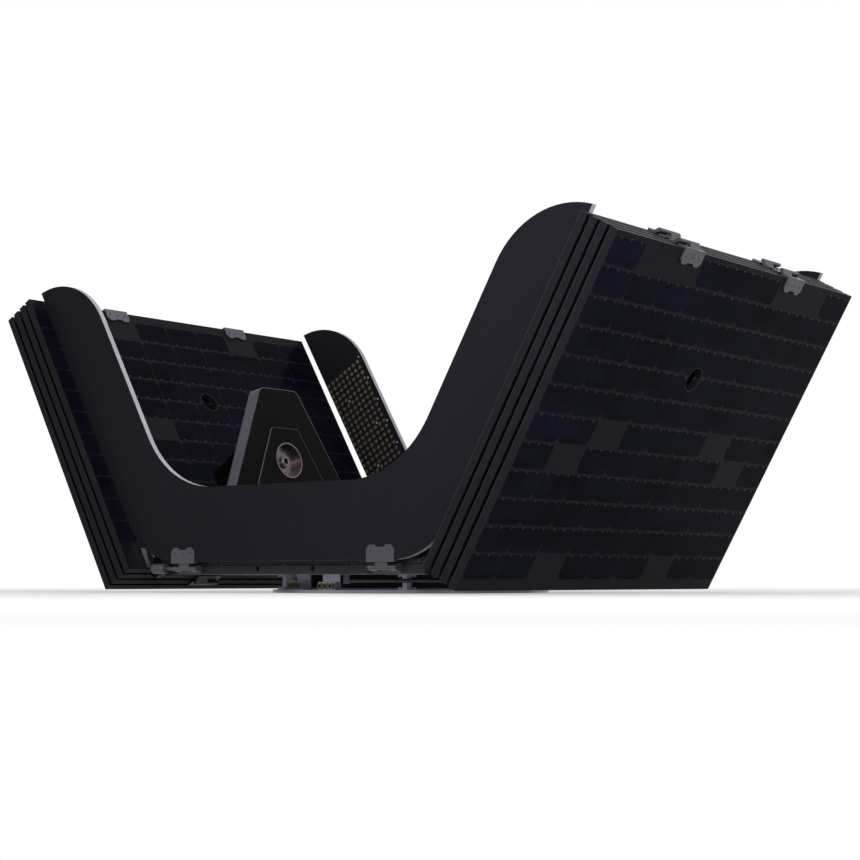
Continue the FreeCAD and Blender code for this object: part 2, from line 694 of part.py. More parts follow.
def pylon_hub():
    """Turned cup sunk in the pylon's face, with a boss on its floor."""
    cup = hub_rod(HUB_R, 0, HUB_DEEP + HUB_FLOOR, HUB_FACETS)
    cup = cup.cut(hub_rod(HUB_R - HUB_WALL, -1, HUB_DEEP + 1, HUB_FACETS))
    boss = hub_rod(HUB_BOSS_R, HUB_DEEP - HUB_BOSS_H, HUB_BOSS_H + 1, CAN_FACETS)
    hub = fused([cup, boss])
    hub.rotate(V(0, 0, DECK_TOP), V(0, 1, 0), PYLON_LEAN)
    return hub.translated(V(PYLON_X, 0, 0))


def export(name, shapes):
    shape = shapes[0] if len(shapes) == 1 else Part.makeCompound(shapes)
    shape.exportStep("parts/" + name + ".step")


def both_sides(name, shapes):
    export("right_" + name, shapes)
    export("left_" + name, [mirrored(s) for s in shapes])


def main():
    os.makedirs("parts", exist_ok=True)

    export("deck", [box(-DECK_HALF_X, DECK_HALF_X, DECK_FRONT + RAIL_T, DECK_BACK - RAIL_T,
                        DECK_Z, DECK_TOP)])
    export("front_rail", [edge_rail(True)])
    export("rear_rail", [edge_rail(False)])
    export("separation_ring", [separation_ring()])
    export("ring_posts", [ring_post(a) for a in POST_ANGLES])
    export("belly_box", [box(-BELLY_X / 2, BELLY_X / 2, -BELLY_Y / 2, BELLY_Y / 2,
                             BELLY_Z + BELLY_COVER_T, DECK_Z)])
    lip = 2 * BELLY_COVER_LIP
    export("belly_cover", [rounded_block(BELLY_X + lip, BELLY_Y + lip, BELLY_Z,
                                         BELLY_Z + BELLY_COVER_T, BELLY_COVER_R)])
    export("ring_connectors", ring_connectors())
    export("switch_boxes", switch_boxes())
    export("feed_tube", [feed_tube()])
    export("avionics_module", [avionics_module()])
    both_sides("pylon", [pylon()])
    both_sides("pylon_hub", [pylon_hub()])
    both_sides("root_brackets", [root_bracket(-1), root_bracket(1)])
    both_sides("root_actuators", [root_actuator(-1), root_actuator(1)])

    for index in range(PANELS):
        name = "panel_" + str(index + 1)
        both_sides(name, [on_wing(panel(index))])
        hinges = panel_hinges(index)
        if index == 0:
            hinges += [root_lug().translated(V(0, y, 0)) for y in (-ROOT_Y, ROOT_Y)]
        both_sides(name + "_hinges", [on_wing(h) for h in hinges])

    for front, face in ((True, ANT_FRONT), (False, ANT_BACK)):
        name = "front" if front else "rear"
        inner = face + ANT_T if front else face - ANT_T
        rail_gap = DECK_FRONT - ANT_FRONT if front else ANT_BACK - DECK_BACK
        export(name + "_antenna", [antenna_plate(face, inner)])
        export(name + "_antenna_hinges", at_antenna([antenna_leaf()] * 2, front))
        fixed = antenna_fixed_leaf(rail_gap)
        damped = fused([fixed] + antenna_damper(rail_gap))
        export(name + "_rail_hinges", at_antenna([damped, fixed], front))


main()
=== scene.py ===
import json
import math

import bmesh
import bpy
from bpy.props import FloatProperty, FloatVectorProperty, IntProperty, PointerProperty
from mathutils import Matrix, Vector
from mathutils.geometry import convex_hull_2d


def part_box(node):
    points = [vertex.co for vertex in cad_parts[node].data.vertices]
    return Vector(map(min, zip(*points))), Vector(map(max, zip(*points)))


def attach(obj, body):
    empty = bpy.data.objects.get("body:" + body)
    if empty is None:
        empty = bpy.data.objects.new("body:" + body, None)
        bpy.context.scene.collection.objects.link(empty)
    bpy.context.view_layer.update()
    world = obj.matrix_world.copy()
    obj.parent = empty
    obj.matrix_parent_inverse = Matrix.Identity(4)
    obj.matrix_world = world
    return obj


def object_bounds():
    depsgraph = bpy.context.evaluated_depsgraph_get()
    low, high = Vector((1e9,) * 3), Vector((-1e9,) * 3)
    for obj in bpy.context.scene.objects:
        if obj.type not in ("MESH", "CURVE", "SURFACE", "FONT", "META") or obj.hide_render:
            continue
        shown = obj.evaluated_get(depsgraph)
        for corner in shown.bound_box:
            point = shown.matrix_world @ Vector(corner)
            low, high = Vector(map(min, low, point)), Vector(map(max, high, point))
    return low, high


# Fine parts, finishes and stage of a small satellite, parked with its wings folded.
# Everything is placed from the packed model: its nodes' boxes, their separate solids, its record.

bl_info = {
    "name": "Satellite Finish",
    "version": (1, 0, 0),
    "blender": (4, 5, 0),
    "location": "3D View > Sidebar > Satellite",
    "description": "Solar cells, antenna patches, fasteners and finishes for a stowed satellite",
    "category": "Add Mesh",
}

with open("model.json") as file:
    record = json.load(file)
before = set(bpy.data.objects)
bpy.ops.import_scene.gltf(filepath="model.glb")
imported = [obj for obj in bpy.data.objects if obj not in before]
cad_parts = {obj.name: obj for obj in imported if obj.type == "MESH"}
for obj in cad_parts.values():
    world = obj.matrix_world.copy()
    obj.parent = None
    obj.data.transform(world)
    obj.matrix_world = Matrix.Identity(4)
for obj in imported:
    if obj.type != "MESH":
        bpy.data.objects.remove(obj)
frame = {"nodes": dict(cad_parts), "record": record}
CAD_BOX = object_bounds()
MM = 0.001
SIDES = {"right": 1.0, "left": -1.0}
PANELS = (1, 2, 3, 4)
PLATES = {"front": -1.0, "rear": 1.0}
Y, Z = Vector((0, 1, 0)), Vector((0, 0, 1))
MOUNTS = {mount["name"]: mount for mount in frame["record"]["mounts"]}


def display(red, green, blue):
    """A colour as a screen shows it, 0 to 255, turned into the linear values that shaders use."""
    linear = []
    for value in (red, green, blue):
        share = value / 255
        linear.append(share / 12.92 if share <= 0.04045 else ((share + 0.055) / 1.055) ** 2.4)
    return tuple(linear)


def length(name, description, millimetres):
    """A size that a user can change."""
    return FloatProperty(name=name, description=description, default=millimetres * MM, min=0.0,
                         unit="LENGTH", precision=5)


def colour(name, description, red, green, blue):
    """A colour that a user can change, given as a screen shows it."""
    return FloatVectorProperty(name=name, description=description, subtype="COLOR", size=3,
                               min=0.0, max=1.0, default=display(red, green, blue))


# ---- settings -------------------------------------------------------------------------------

class SatelliteCellSettings(bpy.types.PropertyGroup):
    """Sizes of the solar cells on each panel."""
    columns: IntProperty(name="Columns", description="Cells along a panel", default=9, min=1)
    rows: IntProperty(name="Rows", description="Cells from edge to edge of a panel", default=12,
                      min=1)
    end_margin: length("End margin", "Bare strip at each end of a panel", 3.7)
    top_margin: length("Top margin", "Bare strip above the first row", 8.2)
    gap_along: length("Gap along", "Gap between cells of one row", 2.2)
    gap_up: length("Gap between rows", "Gap between two rows", 4.6)
    height: length("Cell height", "Height of one cell", 38.0)
    thickness: length("Thickness", "Height of a cell's glass above the panel", 0.25)
    crop: length("Cropped corner", "Radius of a cell's two lower corners", 8.5)
    tab: length("Tab", "Width of the metal tabs along a cell's top edge", 3.4)
    hole_ring: length("Hole ring", "Width of the liner's rim round the hold-down hole", 1.1)


class SatelliteAntennaSettings(bpy.types.PropertyGroup):
    """Sizes of the patch array on the antenna plates."""
    columns: IntProperty(name="Columns", description="Patches across one arm", default=8, min=1)
    rows: IntProperty(name="Rows", description="Patches along one arm", default=23, min=1)
    pitch: length("Pitch", "Distance between two patches", 12.5)
    radius: length("Patch radius", "Radius of one round patch", 3.7)
    thickness: length("Patch thickness", "Height of a patch above the plate", 0.3)
    from_edge: length("From edge", "Middle of the first column to the arm's outer edge", 5.6)
    top_row: length("Top row", "Height of the first row up the slope", 415.6)


class SatelliteFastenerSettings(bpy.types.PropertyGroup):
    """Sizes of screws and inserts."""
    small: length("Small screw", "Head radius on hinge leaves and covers", 1.25)
    medium: length("Medium screw", "Head radius on pylons and the avionics lid", 2.6)
    insert: length("Insert", "Radius of the potted inserts in the deck", 3.6)
    edge: length("Edge distance", "Screws from the edge of a part", 7.0)


class SatelliteColours(bpy.types.PropertyGroup):
    """Colours of the finishes."""
    plate: colour("Antenna plate", "Broad faces of the antenna plates", 32, 31, 38)
    # Painted highlight: the plates' edges are coloured pale to stand in for the light that they
    # catch.
    plate_edge_highlight: colour("Plate edge", "Cut edges of the antenna plates", 176, 176, 184)
    substrate: colour("Panel skin", "Bare skin between the cells", 15, 14, 21)
    panel_edge: colour("Panel edge", "Honeycomb edge of a panel", 25, 24, 30)
    skin_line: colour("Skin line", "Cut edge of a panel's skins", 48, 48, 54)
    cell: colour("Cell", "Glass of the solar cells", 12, 12, 24)
    liner: colour("Liner", "Liner of the hold-down holes", 40, 39, 44)
    tab: colour("Cell tab", "Metal tabs on the cells", 44, 43, 50)
    deck: colour("Deck", "Skins of the deck", 128, 134, 150)
    rail: colour("Rail", "Closing rails of the deck", 44, 41, 46)
    ring: colour("Ring", "Separation ring", 158, 162, 176)
    pale: colour("Pale metal", "Stand-offs and plug brackets", 186, 185, 204)
    bracket: colour("Bracket", "Hinge leaves and brackets", 77, 74, 83)
    black: colour("Black", "Painted housings", 22, 22, 24)
    pylon: colour("Pylon", "Broad faces of the pylons", 10, 10, 12)
    # Painted highlight: the pylons' edges are coloured pale to stand in for the light that they
    # catch.
    pylon_edge_highlight: colour("Pylon edge", "Machined edges of the pylons", 104, 102, 114)
    hub: colour("Hub", "Turned hubs on the pylons", 105, 94, 96)
    gold: colour("Gold", "Antenna patches and connector shells", 142, 129, 102)
    orange: colour("Orange", "Connector seal", 196, 110, 28)
    tape: colour("Tape", "Wiring tape on the panels' backs", 84, 62, 30)


class SatelliteStageSettings(bpy.types.PropertyGroup):
    """Camera and light."""
    azimuth: FloatProperty(name="Azimuth", description="Camera's direction round the satellite",
                           default=math.radians(39.0), subtype="ANGLE")
    distance: length("Distance", "Camera to the satellite's middle, along the floor", 2846.0)
    aside: length("Aside", "Camera and aim shifted to the camera's right", 25.4)
    camera_height: length("Camera height", "Lens above the floor", 20.0)
    aim_height: length("Aim height", "Height that the camera points at", 267.0)
    lens: FloatProperty(name="Lens", description="Focal length in millimetres, sensor 36 mm",
                        default=72.4, min=10.0)
    room: FloatProperty(name="Room light", description="Strength of the even light", default=0.3)
    top: FloatProperty(name="Top light", description="Power of the light overhead, watts",
                       default=20.0)
    key: FloatProperty(name="Key light", description="Power of the light in front, watts",
                       default=16.0)
    fill: FloatProperty(name="Fill light", description="Power of the light at the right, watts",
                        default=14.0)
    back: FloatProperty(name="Back light", description="Power of the light behind, watts",
                        default=16.0)


# ---- places on the packed model -------------------------------------------------------------

class Place:
    """A spot on a surface: its origin, the ways across and up it, and the way out of it."""

    def __init__(self, origin, across, up):
        self.origin = Vector(origin)
        self.across = Vector(across).normalized()
        self.up = Vector(up).normalized()
        self.out = self.across.cross(self.up)

    def at(self, across, up, out=0.0):
        """The point that lies so far across, up and out."""
        return self.origin + self.across * across + self.up * up + self.out * out

    def moved(self, across, up, out=0.0):
        """The same place with its origin moved."""
        return Place(self.at(across, up, out), self.across, self.up)

    def circle(self, radius, out, count):
        """Points of a circle round the way out."""
        turns = [2 * math.pi * i / count for i in range(count)]
        return [self.at(radius * math.cos(turn), radius * math.sin(turn), out) for turn in turns]


class Panel:
    """One solar panel: its outward normal, the way up its slope, and its sizes."""

    def __init__(self, side, number):
        self.side = side
        self.number = number
        self.body = f"{side}_panel_{number}"
        self.normal = Vector(MOUNTS[side + "_hold_down"]["axis"]).normalized()
        self.slope = Vector((-self.normal.z * SIDES[side], 0, abs(self.normal.x)))
        self.lean = math.atan2(abs(self.slope.x), self.slope.z)
        low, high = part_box(self.body)
        wide, tall = high.x - low.x, high.z - low.z
        cos, sin = self.slope.z, abs(self.slope.x)
        self.thickness = (wide * cos - tall * sin) / (cos * cos - sin * sin)
        self.height = (tall * cos - wide * sin) / (cos * cos - sin * sin)
        self.span = high.y - low.y
        inner_x = low.x if SIDES[side] > 0 else high.x
        self.foot = Vector((inner_x, (low.y + high.y) / 2, low.z + self.thickness * sin))
        hole = Vector(MOUNTS[side + "_hold_down"]["pos_m"])
        self.hole_up = (hole - self.foot).dot(self.slope)
        self.hole_radius = MOUNTS[side + "_hold_down"]["dims"]["r_mm"] * MM

    def face(self, outer, upright):
        """The outer or inner face, with its origin at a corner; up runs up or down the slope."""
        way = 1 if upright else -1
        out = self.normal * (1 if outer else -1)
        up = self.slope * way
        across = up.cross(out)
        start = self.foot + self.slope * (self.height if upright else 0)
        start += self.normal * (self.thickness if outer else 0) - across * self.span / 2
        return Place(start, across, up)

    def hole_level(self, upright):
        """How far up a face the hold-down hole lies from the face's origin."""
        return -(self.height - self.hole_up if upright else self.hole_up)

    def cell_pitch(self, sizes):
        """Distance between two columns of cells."""
        return (self.span - 2 * sizes.end_margin + sizes.gap_along) / sizes.columns

    def measure(self, point):
        """How far a point lies outward from the panel's inner face, and up its slope."""
        from_foot = point - self.foot
        return from_foot.dot(self.normal), from_foot.dot(self.slope)


def all_panels():
    """Every panel of both wings."""
    return [Panel(side, number) for side in SIDES for number in PANELS]


def node_points(node):
    """Corner points of a packed node."""
    return [vertex.co for vertex in frame["nodes"][node].data.vertices]


def solids(node):
    """The separate solids of a packed node, each as a list of its corner points."""
    mesh = frame["nodes"][node].data
    keys = [tuple(round(c, 6) for c in vertex.co) for vertex in mesh.vertices]
    leader = {key: key for key in keys}

    def find(key):
        while leader[key] != key:
            leader[key] = leader[leader[key]]
            key = leader[key]
        return key

    for polygon in mesh.polygons:
        first = find(keys[polygon.vertices[0]])
        for index in polygon.vertices[1:]:
            leader[find(keys[index])] = first
    groups = {}
    for key in leader:
        groups.setdefault(find(key), []).append(Vector(key))
    return list(groups.values())


def extent(points, way):
    """How far some points reach along a way, from the least to the most."""
    reach = [point.dot(way) for point in points]
    return min(reach), max(reach)


def levels(points, way, digits=5):
    """The different levels of some points along a way, from the least to the most."""
    return sorted({round(point.dot(way), digits) for point in points})


def limits(points):
    """Lowest and highest corner of some points."""
    low = Vector([min(point[i] for point in points) for i in range(3)])
    high = Vector([max(point[i] for point in points) for i in range(3)])
    return low, high


# ---- meshes ---------------------------------------------------------------------------------

def linked(name, data):
    """A new object in the scene."""
    obj = bpy.data.objects.new(name, data)
    bpy.context.scene.collection.objects.link(obj)
    return obj


def rounded(points, radii, steps=3):
    """A closed anticlockwise outline with each corner rounded by its radius, or left if it is 0."""
    outline = []
    count = len(points)
    for i in range(count):
        before, corner, after = (Vector(points[j % count]) for j in (i - 1, i, i + 1))
        if radii[i] <= 0:
            outline.append(tuple(corner))
            continue
        to_before, to_after = (before - corner).normalized(), (after - corner).normalized()
        half = to_before.angle(to_after) / 2
        centre = corner + (to_before + to_after).normalized() * radii[i] / math.sin(half)
        start = corner + to_before * radii[i] / math.tan(half) - centre
        for step in range(steps + 1):
            turn = (math.pi - 2 * half) * step / steps
            outline.append((centre.x + start.x * math.cos(turn) - start.y * math.sin(turn),
                            centre.y + start.x * math.sin(turn) + start.y * math.cos(turn)))
    return outline


def oblong(wide, tall, radius):
    """A rectangle with rounded corners round the origin."""
    x, y = wide / 2, tall / 2
    return rounded([(-x, -y), (x, -y), (x, y), (-x, y)], [radius] * 4)


def drawn_in(outline, distance):
    """An outline with each point moved towards the middle."""
    middle = sum((Vector(point) for point in outline), Vector((0, 0))) / len(outline)
    return [tuple(Vector(point) + (middle - Vector(point)).normalized() * distance)
            for point in outline]


def bitten(outline, centre, radius, steps=14):
    """An anticlockwise outline with the part inside a circle taken out where an edge crosses it."""
    result = []
    for i, start in enumerate(outline):
        end = outline[(i + 1) % len(outline)]
        result.append(start)
        run = Vector(end) - Vector(start)
        way = run.normalized()
        inward = Vector((-way.y, way.x))
        to_centre = Vector(centre) - Vector(start)
        off = to_centre.dot(inward)
        if abs(off) >= radius:
            continue
        half = math.sqrt(radius * radius - off * off)
        middle = to_centre.dot(way)
        if middle - half <= 0 or middle + half >= run.length:
            continue
        angle = math.acos(-off / radius)
        for step in range(steps + 1):
            turn = angle - 2 * angle * step / steps
            bite = inward * math.cos(turn) - way * math.sin(turn)
            result.append(tuple(Vector(centre) + bite * radius))
    return result


# Profiles of turned parts: radius and height, both as shares of the part's radius.
SCREW_WASHER = ((1.45, 0.0), (1.45, 0.18), (1.35, 0.25))
SCREW_HEAD = ((1.0, 0.2), (1.0, 0.62), (0.88, 0.8), (0.5, 0.84))
# Painted shade: a near-black disc at the top of the head stands in for the socket's shaded recess.
SCREW_SOCKET_SHADE = ((0.62, 0.7), (0.62, 0.86))
SCREW_SIDES = 14
PLUG_SHELL = ((1.0, 0.0), (1.0, 0.3), (0.9, 0.34), (0.9, 0.8), (1.0, 0.84), (1.0, 1.2), (0.8, 1.2),
              (0.8, 0.9))
PLUG_SEAL = ((1.08, 0.4), (1.08, 0.6))
PLUG_INSERT = ((0.62, 0.9), (0.62, 1.1))


def spread(count, pitch):
    """Evenly spaced places in a row, with its middle at 0."""
    return [(index - (count - 1) / 2) * pitch for index in range(count)]


class Pile:
    """Gathers many small closed solids into one mesh, in its first finish or in one by name."""

    def __init__(self, *finish_names):
        self.finish_names = finish_names
        self.points = []
        self.faces = []
        self.numbers = []

    def add(self, rings):
        """Takes the points of some rings; gives the first one's index and the size of a ring."""
        start = len(self.points)
        for ring in rings:
            self.points.extend(ring)
        return start, len(rings[0])

    def face(self, corners, finish):
        """One face between points that were added, given by their indices."""
        self.faces.append(tuple(corners))
        self.numbers.append(self.finish_names.index(finish) if finish else 0)

    def strip(self, low, top, count, finish):
        """Faces between two rings, whose first points have the indices low and top."""
        for i in range(count):
            j = (i + 1) % count
            self.face((low + i, low + j, top + j, top + i), finish)

    def rings(self, rings, finish):
        """A skin over rings of equally many points, capped at both ends."""
        start, count = self.add(rings)
        last = start + (len(rings) - 1) * count
        for low in range(start, last, count):
            self.strip(low, low + count, count, finish)
        self.face(range(start + count - 1, start - 1, -1), finish)
        self.face(range(last, last + count), finish)

    def band(self, rings, finish):
        """A skin over rings of equally many points, with the last ring joined to the first."""
        start, count = self.add(rings)
        for level in range(len(rings)):
            following = (level + 1) % len(rings)
            self.strip(start + level * count, start + following * count, count, finish)

    def slab(self, outline, place, depth, finish=None, bevel=0.0, base=0.0):
        """A flat outline raised from the place's surface; bevel chamfers its top edge."""
        rings = [(outline, base), (outline, base + depth - bevel)]
        if bevel > 0:
            rings.append((drawn_in(outline, bevel), base + depth))
        self.rings([[place.at(a, b, height) for a, b in ring] for ring, height in rings], finish)

    def turned(self, profile, size, place, sides, finish=None):
        """A profile of radii and heights, as shares of a size, turned round the place's way out."""
        self.rings([place.circle(radius * size, height * size, sides)
                    for radius, height in profile], finish)

    def disc(self, radius, height, place, sides, finish=None):
        """A short cylinder."""
        self.rings([place.circle(radius, out, sides) for out in (0.0, height)], finish)

    def washer(self, inner, outer, height, place, sides, finish=None):
        """A flat ring with rounded-off top edges."""
        edge = height * 0.3
        profile = ((inner, 0.0), (outer, 0.0), (outer, height - edge), (outer - edge, height),
                   (inner + edge, height), (inner, height - edge))
        self.band([place.circle(radius, out, sides) for radius, out in profile], finish)

    def chamfer(self, outline, place, wide, high, finish=None):
        """A strip along the inside of a convex outline that rises from it and drops off again."""
        back = wide * 1.2
        profile = ((0.0, 0.0), (wide, high), (back, high), (back, 0.0))
        self.band([[place.at(a, b, rise) for a, b in drawn_in(outline, inset)]
                   for inset, rise in profile], finish)

    def screw(self, place, radius, finish=None):
        """A cap screw: washer, domed head, and a near-black hexagonal disc as painted shade for its
        socket.
        """
        self.turned(SCREW_WASHER, radius, place, SCREW_SIDES, finish)
        self.turned(SCREW_HEAD, radius, place, SCREW_SIDES, finish)
        self.turned(SCREW_SOCKET_SHADE, radius, place, sides=6, finish="socket")

    def piece(self, name, body):
        """The pile as one object that rides on a body."""
        mesh = bpy.data.meshes.new(name)
        mesh.from_pydata([tuple(point) for point in self.points], [], self.faces)
        for finish in self.finish_names:
            mesh.materials.append(finishes()[finish])
        mesh.polygons.foreach_set("material_index", self.numbers)
        work = bmesh.new()
        work.from_mesh(mesh)
        bmesh.ops.recalc_face_normals(work, faces=work.faces)
        work.to_mesh(mesh)
        work.free()
        mesh.update()
        obj = linked(name, mesh)
        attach(obj, body)


# ---- shader groups --------------------------------------------------------------------------

MIX_FIRST, MIX_SECOND, MIX_RESULT = 6, 7, 2     # a Mix node's colour sockets, by number


class Wiring:
    """Adds nodes to a tree from left to right and links them."""

    def __init__(self, tree):
        self.tree = tree

    def node(self, kind, values=(), **settings):
        """A node; values are numbers, colours or sockets for its inputs, by name or number."""
        made = self.tree.nodes.new(kind)
        made.location = (len(self.tree.nodes) * 180, 0)
        for name, value in settings.items():
            setattr(made, name, value)
        for socket, value in dict(values).items():
            self.feed(made.inputs[socket], value)
        return made

    def feed(self, socket, value):
        """Links a socket to an input, or sets the input to a number or colour."""
        if isinstance(value, bpy.types.NodeSocket):
            self.tree.links.new(value, socket)
        elif isinstance(socket.default_value, (float, int)):
            socket.default_value = value
        else:
            filled = list(value) + [1.0] * (len(socket.default_value) - len(value))
            socket.default_value = filled

    def math(self, operation, *terms):
        """The result of an operation on one to three numbers."""
        values = dict(enumerate(terms))
        return self.node("ShaderNodeMath", values, operation=operation).outputs[0]

    def vector(self, operation, *terms):
        """The outputs of an operation on one or two vectors."""
        values = dict(enumerate(terms))
        return self.node("ShaderNodeVectorMath", values, operation=operation).outputs

    def scaled(self, colour, gain):
        """A colour times a number."""
        return self.node("ShaderNodeVectorMath", {0: colour, "Scale": gain},
                         operation="SCALE").outputs[0]

    def noise(self, at, scale, detail, **values):
        """Smooth noise, as a number round 0.5."""
        values.update(Vector=at, Scale=scale, Detail=detail)
        return self.node("ShaderNodeTexNoise", values).outputs["Fac"]

    def object_place(self):
        """The object's own coordinates, in metres."""
        return self.node("ShaderNodeTexCoord").outputs["Object"]

    def split(self, vector):
        """The three parts of a vector."""
        return self.node("ShaderNodeSeparateXYZ", {0: vector}).outputs

    def ramp(self, value, low, high, to_low=0.0, to_high=1.0):
        """The value mapped from one range to another, and held inside it."""
        values = {"Value": value, "From Min": low, "From Max": high, "To Min": to_low,
                  "To Max": to_high}
        return self.node("ShaderNodeMapRange", values, clamp=True).outputs["Result"]

    def mix(self, share, first, second):
        """Two colours mixed by a share."""
        made = self.node("ShaderNodeMix", data_type="RGBA")
        self.feed(made.inputs["Factor"], share)
        self.feed(made.inputs[MIX_FIRST], first)
        self.feed(made.inputs[MIX_SECOND], second)
        return made.outputs[MIX_RESULT]


def shader_group(name, inputs, outputs):
    """An empty group with named sockets: pairs of name and kind, and for inputs a default."""
    tree = bpy.data.node_groups.new(name, "ShaderNodeTree")
    for socket, kind, default in inputs:
        made = tree.interface.new_socket(socket, in_out="INPUT", socket_type="NodeSocket" + kind)
        made.default_value = default
    for socket, kind in outputs:
        tree.interface.new_socket(socket, in_out="OUTPUT", socket_type="NodeSocket" + kind)
    wiring = Wiring(tree)
    return wiring, wiring.node("NodeGroupInput").outputs, wiring.node("NodeGroupOutput").inputs


def height_up_slope(wiring, at, lean):
    """How far up a slope that leans outward on both sides of the satellite."""
    aside = wiring.math("MULTIPLY", wiring.math("ABSOLUTE", at[0]), wiring.math("SINE", lean))
    return wiring.math("ADD", aside, wiring.math("MULTIPLY", at[2], wiring.math("COSINE", lean)))


DUST_COLOUR = (0.35, 0.35, 0.37)
OUTER_SKIN = 0.25               # how plain the outer skin's edge is, of the inner one's
CORE_CELLS = 210.0              # honeycomb cells in a metre
CORE_SHOW = 0.06                # how plain the cells are on a cut edge
GRID_SHOW = 0.08                # and the fine lines on a solar cell
WHITE = (1.0, 1.0, 1.0)


def group_grain():
    """Fine speckle for roughness and bump, with slower smudges from handling over it."""
    wiring, given, result = shader_group(
        "Satellite Grain",
        [("Scale", "Float", 900.0), ("Roughness", "Float", 0.5), ("Spread", "Float", 0.1),
         ("Smudge", "Float", 0.1)],
        [("Roughness", "Float"), ("Height", "Float")])
    at = wiring.object_place()
    fine = wiring.noise(at, scale=given["Scale"], detail=3.0)
    slow = wiring.noise(at, scale=9.0, detail=4.0, Distortion=0.6)
    speckle = wiring.math("MULTIPLY", wiring.math("SUBTRACT", fine, 0.5), given["Spread"])
    smudge = wiring.math("MULTIPLY", wiring.math("SUBTRACT", slow, 0.5), given["Smudge"])
    both = wiring.math("ADD", speckle, smudge)
    wiring.feed(result["Roughness"], wiring.math("ADD", given["Roughness"], both))
    wiring.feed(result["Height"], fine)
    return wiring.tree


def group_drift():
    """Slow uneven tone over a surface, with sparse paler dust."""
    wiring, given, result = shader_group(
        "Satellite Tone Drift",
        [("Color", "Color", (0.5, 0.5, 0.5, 1.0)), ("Amount", "Float", 0.15),
         ("Dust", "Float", 0.05), ("Scale", "Float", 6.0)],
        [("Color", "Color")])
    at = wiring.object_place()
    slow = wiring.noise(at, scale=given["Scale"], detail=5.0, Roughness=0.6)
    shade = wiring.ramp(slow, 0.3, 0.7, -1.0, 1.0)
    gain = wiring.math("MULTIPLY_ADD", shade, given["Amount"], 1.0)
    toned = wiring.scaled(given["Color"], gain)
    specks = wiring.noise(at, scale=240.0, detail=2.0)
    dust = wiring.math("MULTIPLY", wiring.ramp(specks, 0.62, 0.72), given["Dust"])
    wiring.feed(result["Color"], wiring.mix(dust, toned, DUST_COLOUR))
    return wiring.tree


def group_faces():
    """Tells a part's two broad faces from its edges by the direction that they face."""
    wiring, given, result = shader_group(
        "Satellite Broad Faces",
        [("Axis", "Vector", (0.0, 1.0, 0.0)), ("Mirrored", "Float", 0.0), ("From", "Float", 0.7),
         ("To", "Float", 0.8)],
        [("Broad", "Float")])
    coordinates = wiring.node("ShaderNodeTexCoord")
    side = wiring.math("SIGN", wiring.split(coordinates.outputs["Object"])[0])
    turned = wiring.math("MULTIPLY_ADD", given["Mirrored"], wiring.math("SUBTRACT", side, 1.0),
                         1.0)
    normal = wiring.split(coordinates.outputs["Normal"])
    flipped = wiring.node("ShaderNodeCombineXYZ", {
        0: wiring.math("MULTIPLY", normal[0], turned), 1: normal[1], 2: normal[2]}).outputs[0]
    along = wiring.vector("DOT_PRODUCT", flipped, given["Axis"])["Value"]
    wiring.feed(result["Broad"],
                wiring.ramp(wiring.math("ABSOLUTE", along), given["From"], given["To"]))
    return wiring.tree


def group_weave():
    """Carbon twill: alternating diagonal tows, as a tone and a height."""
    wiring, given, result = shader_group(
        "Satellite Twill",
        [("Tow", "Float", 0.002), ("Mirrored", "Float", 0.0), ("Lean", "Float", 0.0)],
        [("Tone", "Float"), ("Height", "Float")])
    at = wiring.split(wiring.object_place())
    up = height_up_slope(wiring, at, given["Lean"])
    level = wiring.math("MULTIPLY", at[0], wiring.math("SUBTRACT", 1.0, given["Mirrored"]))
    across = wiring.math("MULTIPLY_ADD", at[1], given["Mirrored"], level)
    weft = wiring.math("DIVIDE", across, given["Tow"])
    warp = wiring.math("DIVIDE", up, given["Tow"])
    step = wiring.math("ADD", wiring.math("FLOOR", weft), wiring.math("FLOOR", warp))
    turn = wiring.math("MODULO", wiring.math("ABSOLUTE", step), 4.0)
    over = wiring.math("LESS_THAN", turn, 1.9)              # over two tows, then under two
    crown_weft = wiring.math("PINGPONG", weft, 0.5)
    crown_warp = wiring.math("PINGPONG", warp, 0.5)
    difference = wiring.math("SUBTRACT", crown_weft, crown_warp)
    height = wiring.math("MULTIPLY_ADD", over, difference, crown_warp)
    wiring.feed(result["Tone"], over)
    wiring.feed(result["Height"], height)
    return wiring.tree


def group_brushed():
    """Fine drawn lines along one axis, for machined and brushed metal."""
    wiring, given, result = shader_group(
        "Satellite Brushed",
        [("Stretch", "Vector", (40.0, 900.0, 900.0)), ("Roughness", "Float", 0.35),
         ("Spread", "Float", 0.2)],
        [("Roughness", "Float"), ("Height", "Float"), ("Tone", "Float")])
    at = wiring.vector("MULTIPLY", wiring.object_place(), given["Stretch"])[0]
    lines = wiring.noise(at, scale=1.0, detail=2.0)
    centred = wiring.math("SUBTRACT", lines, 0.5)
    wiring.feed(result["Roughness"],
                wiring.math("MULTIPLY_ADD", centred, given["Spread"], given["Roughness"]))
    wiring.feed(result["Height"], lines)
    wiring.feed(result["Tone"], wiring.math("MULTIPLY_ADD", centred, 0.3, 1.0))
    return wiring.tree


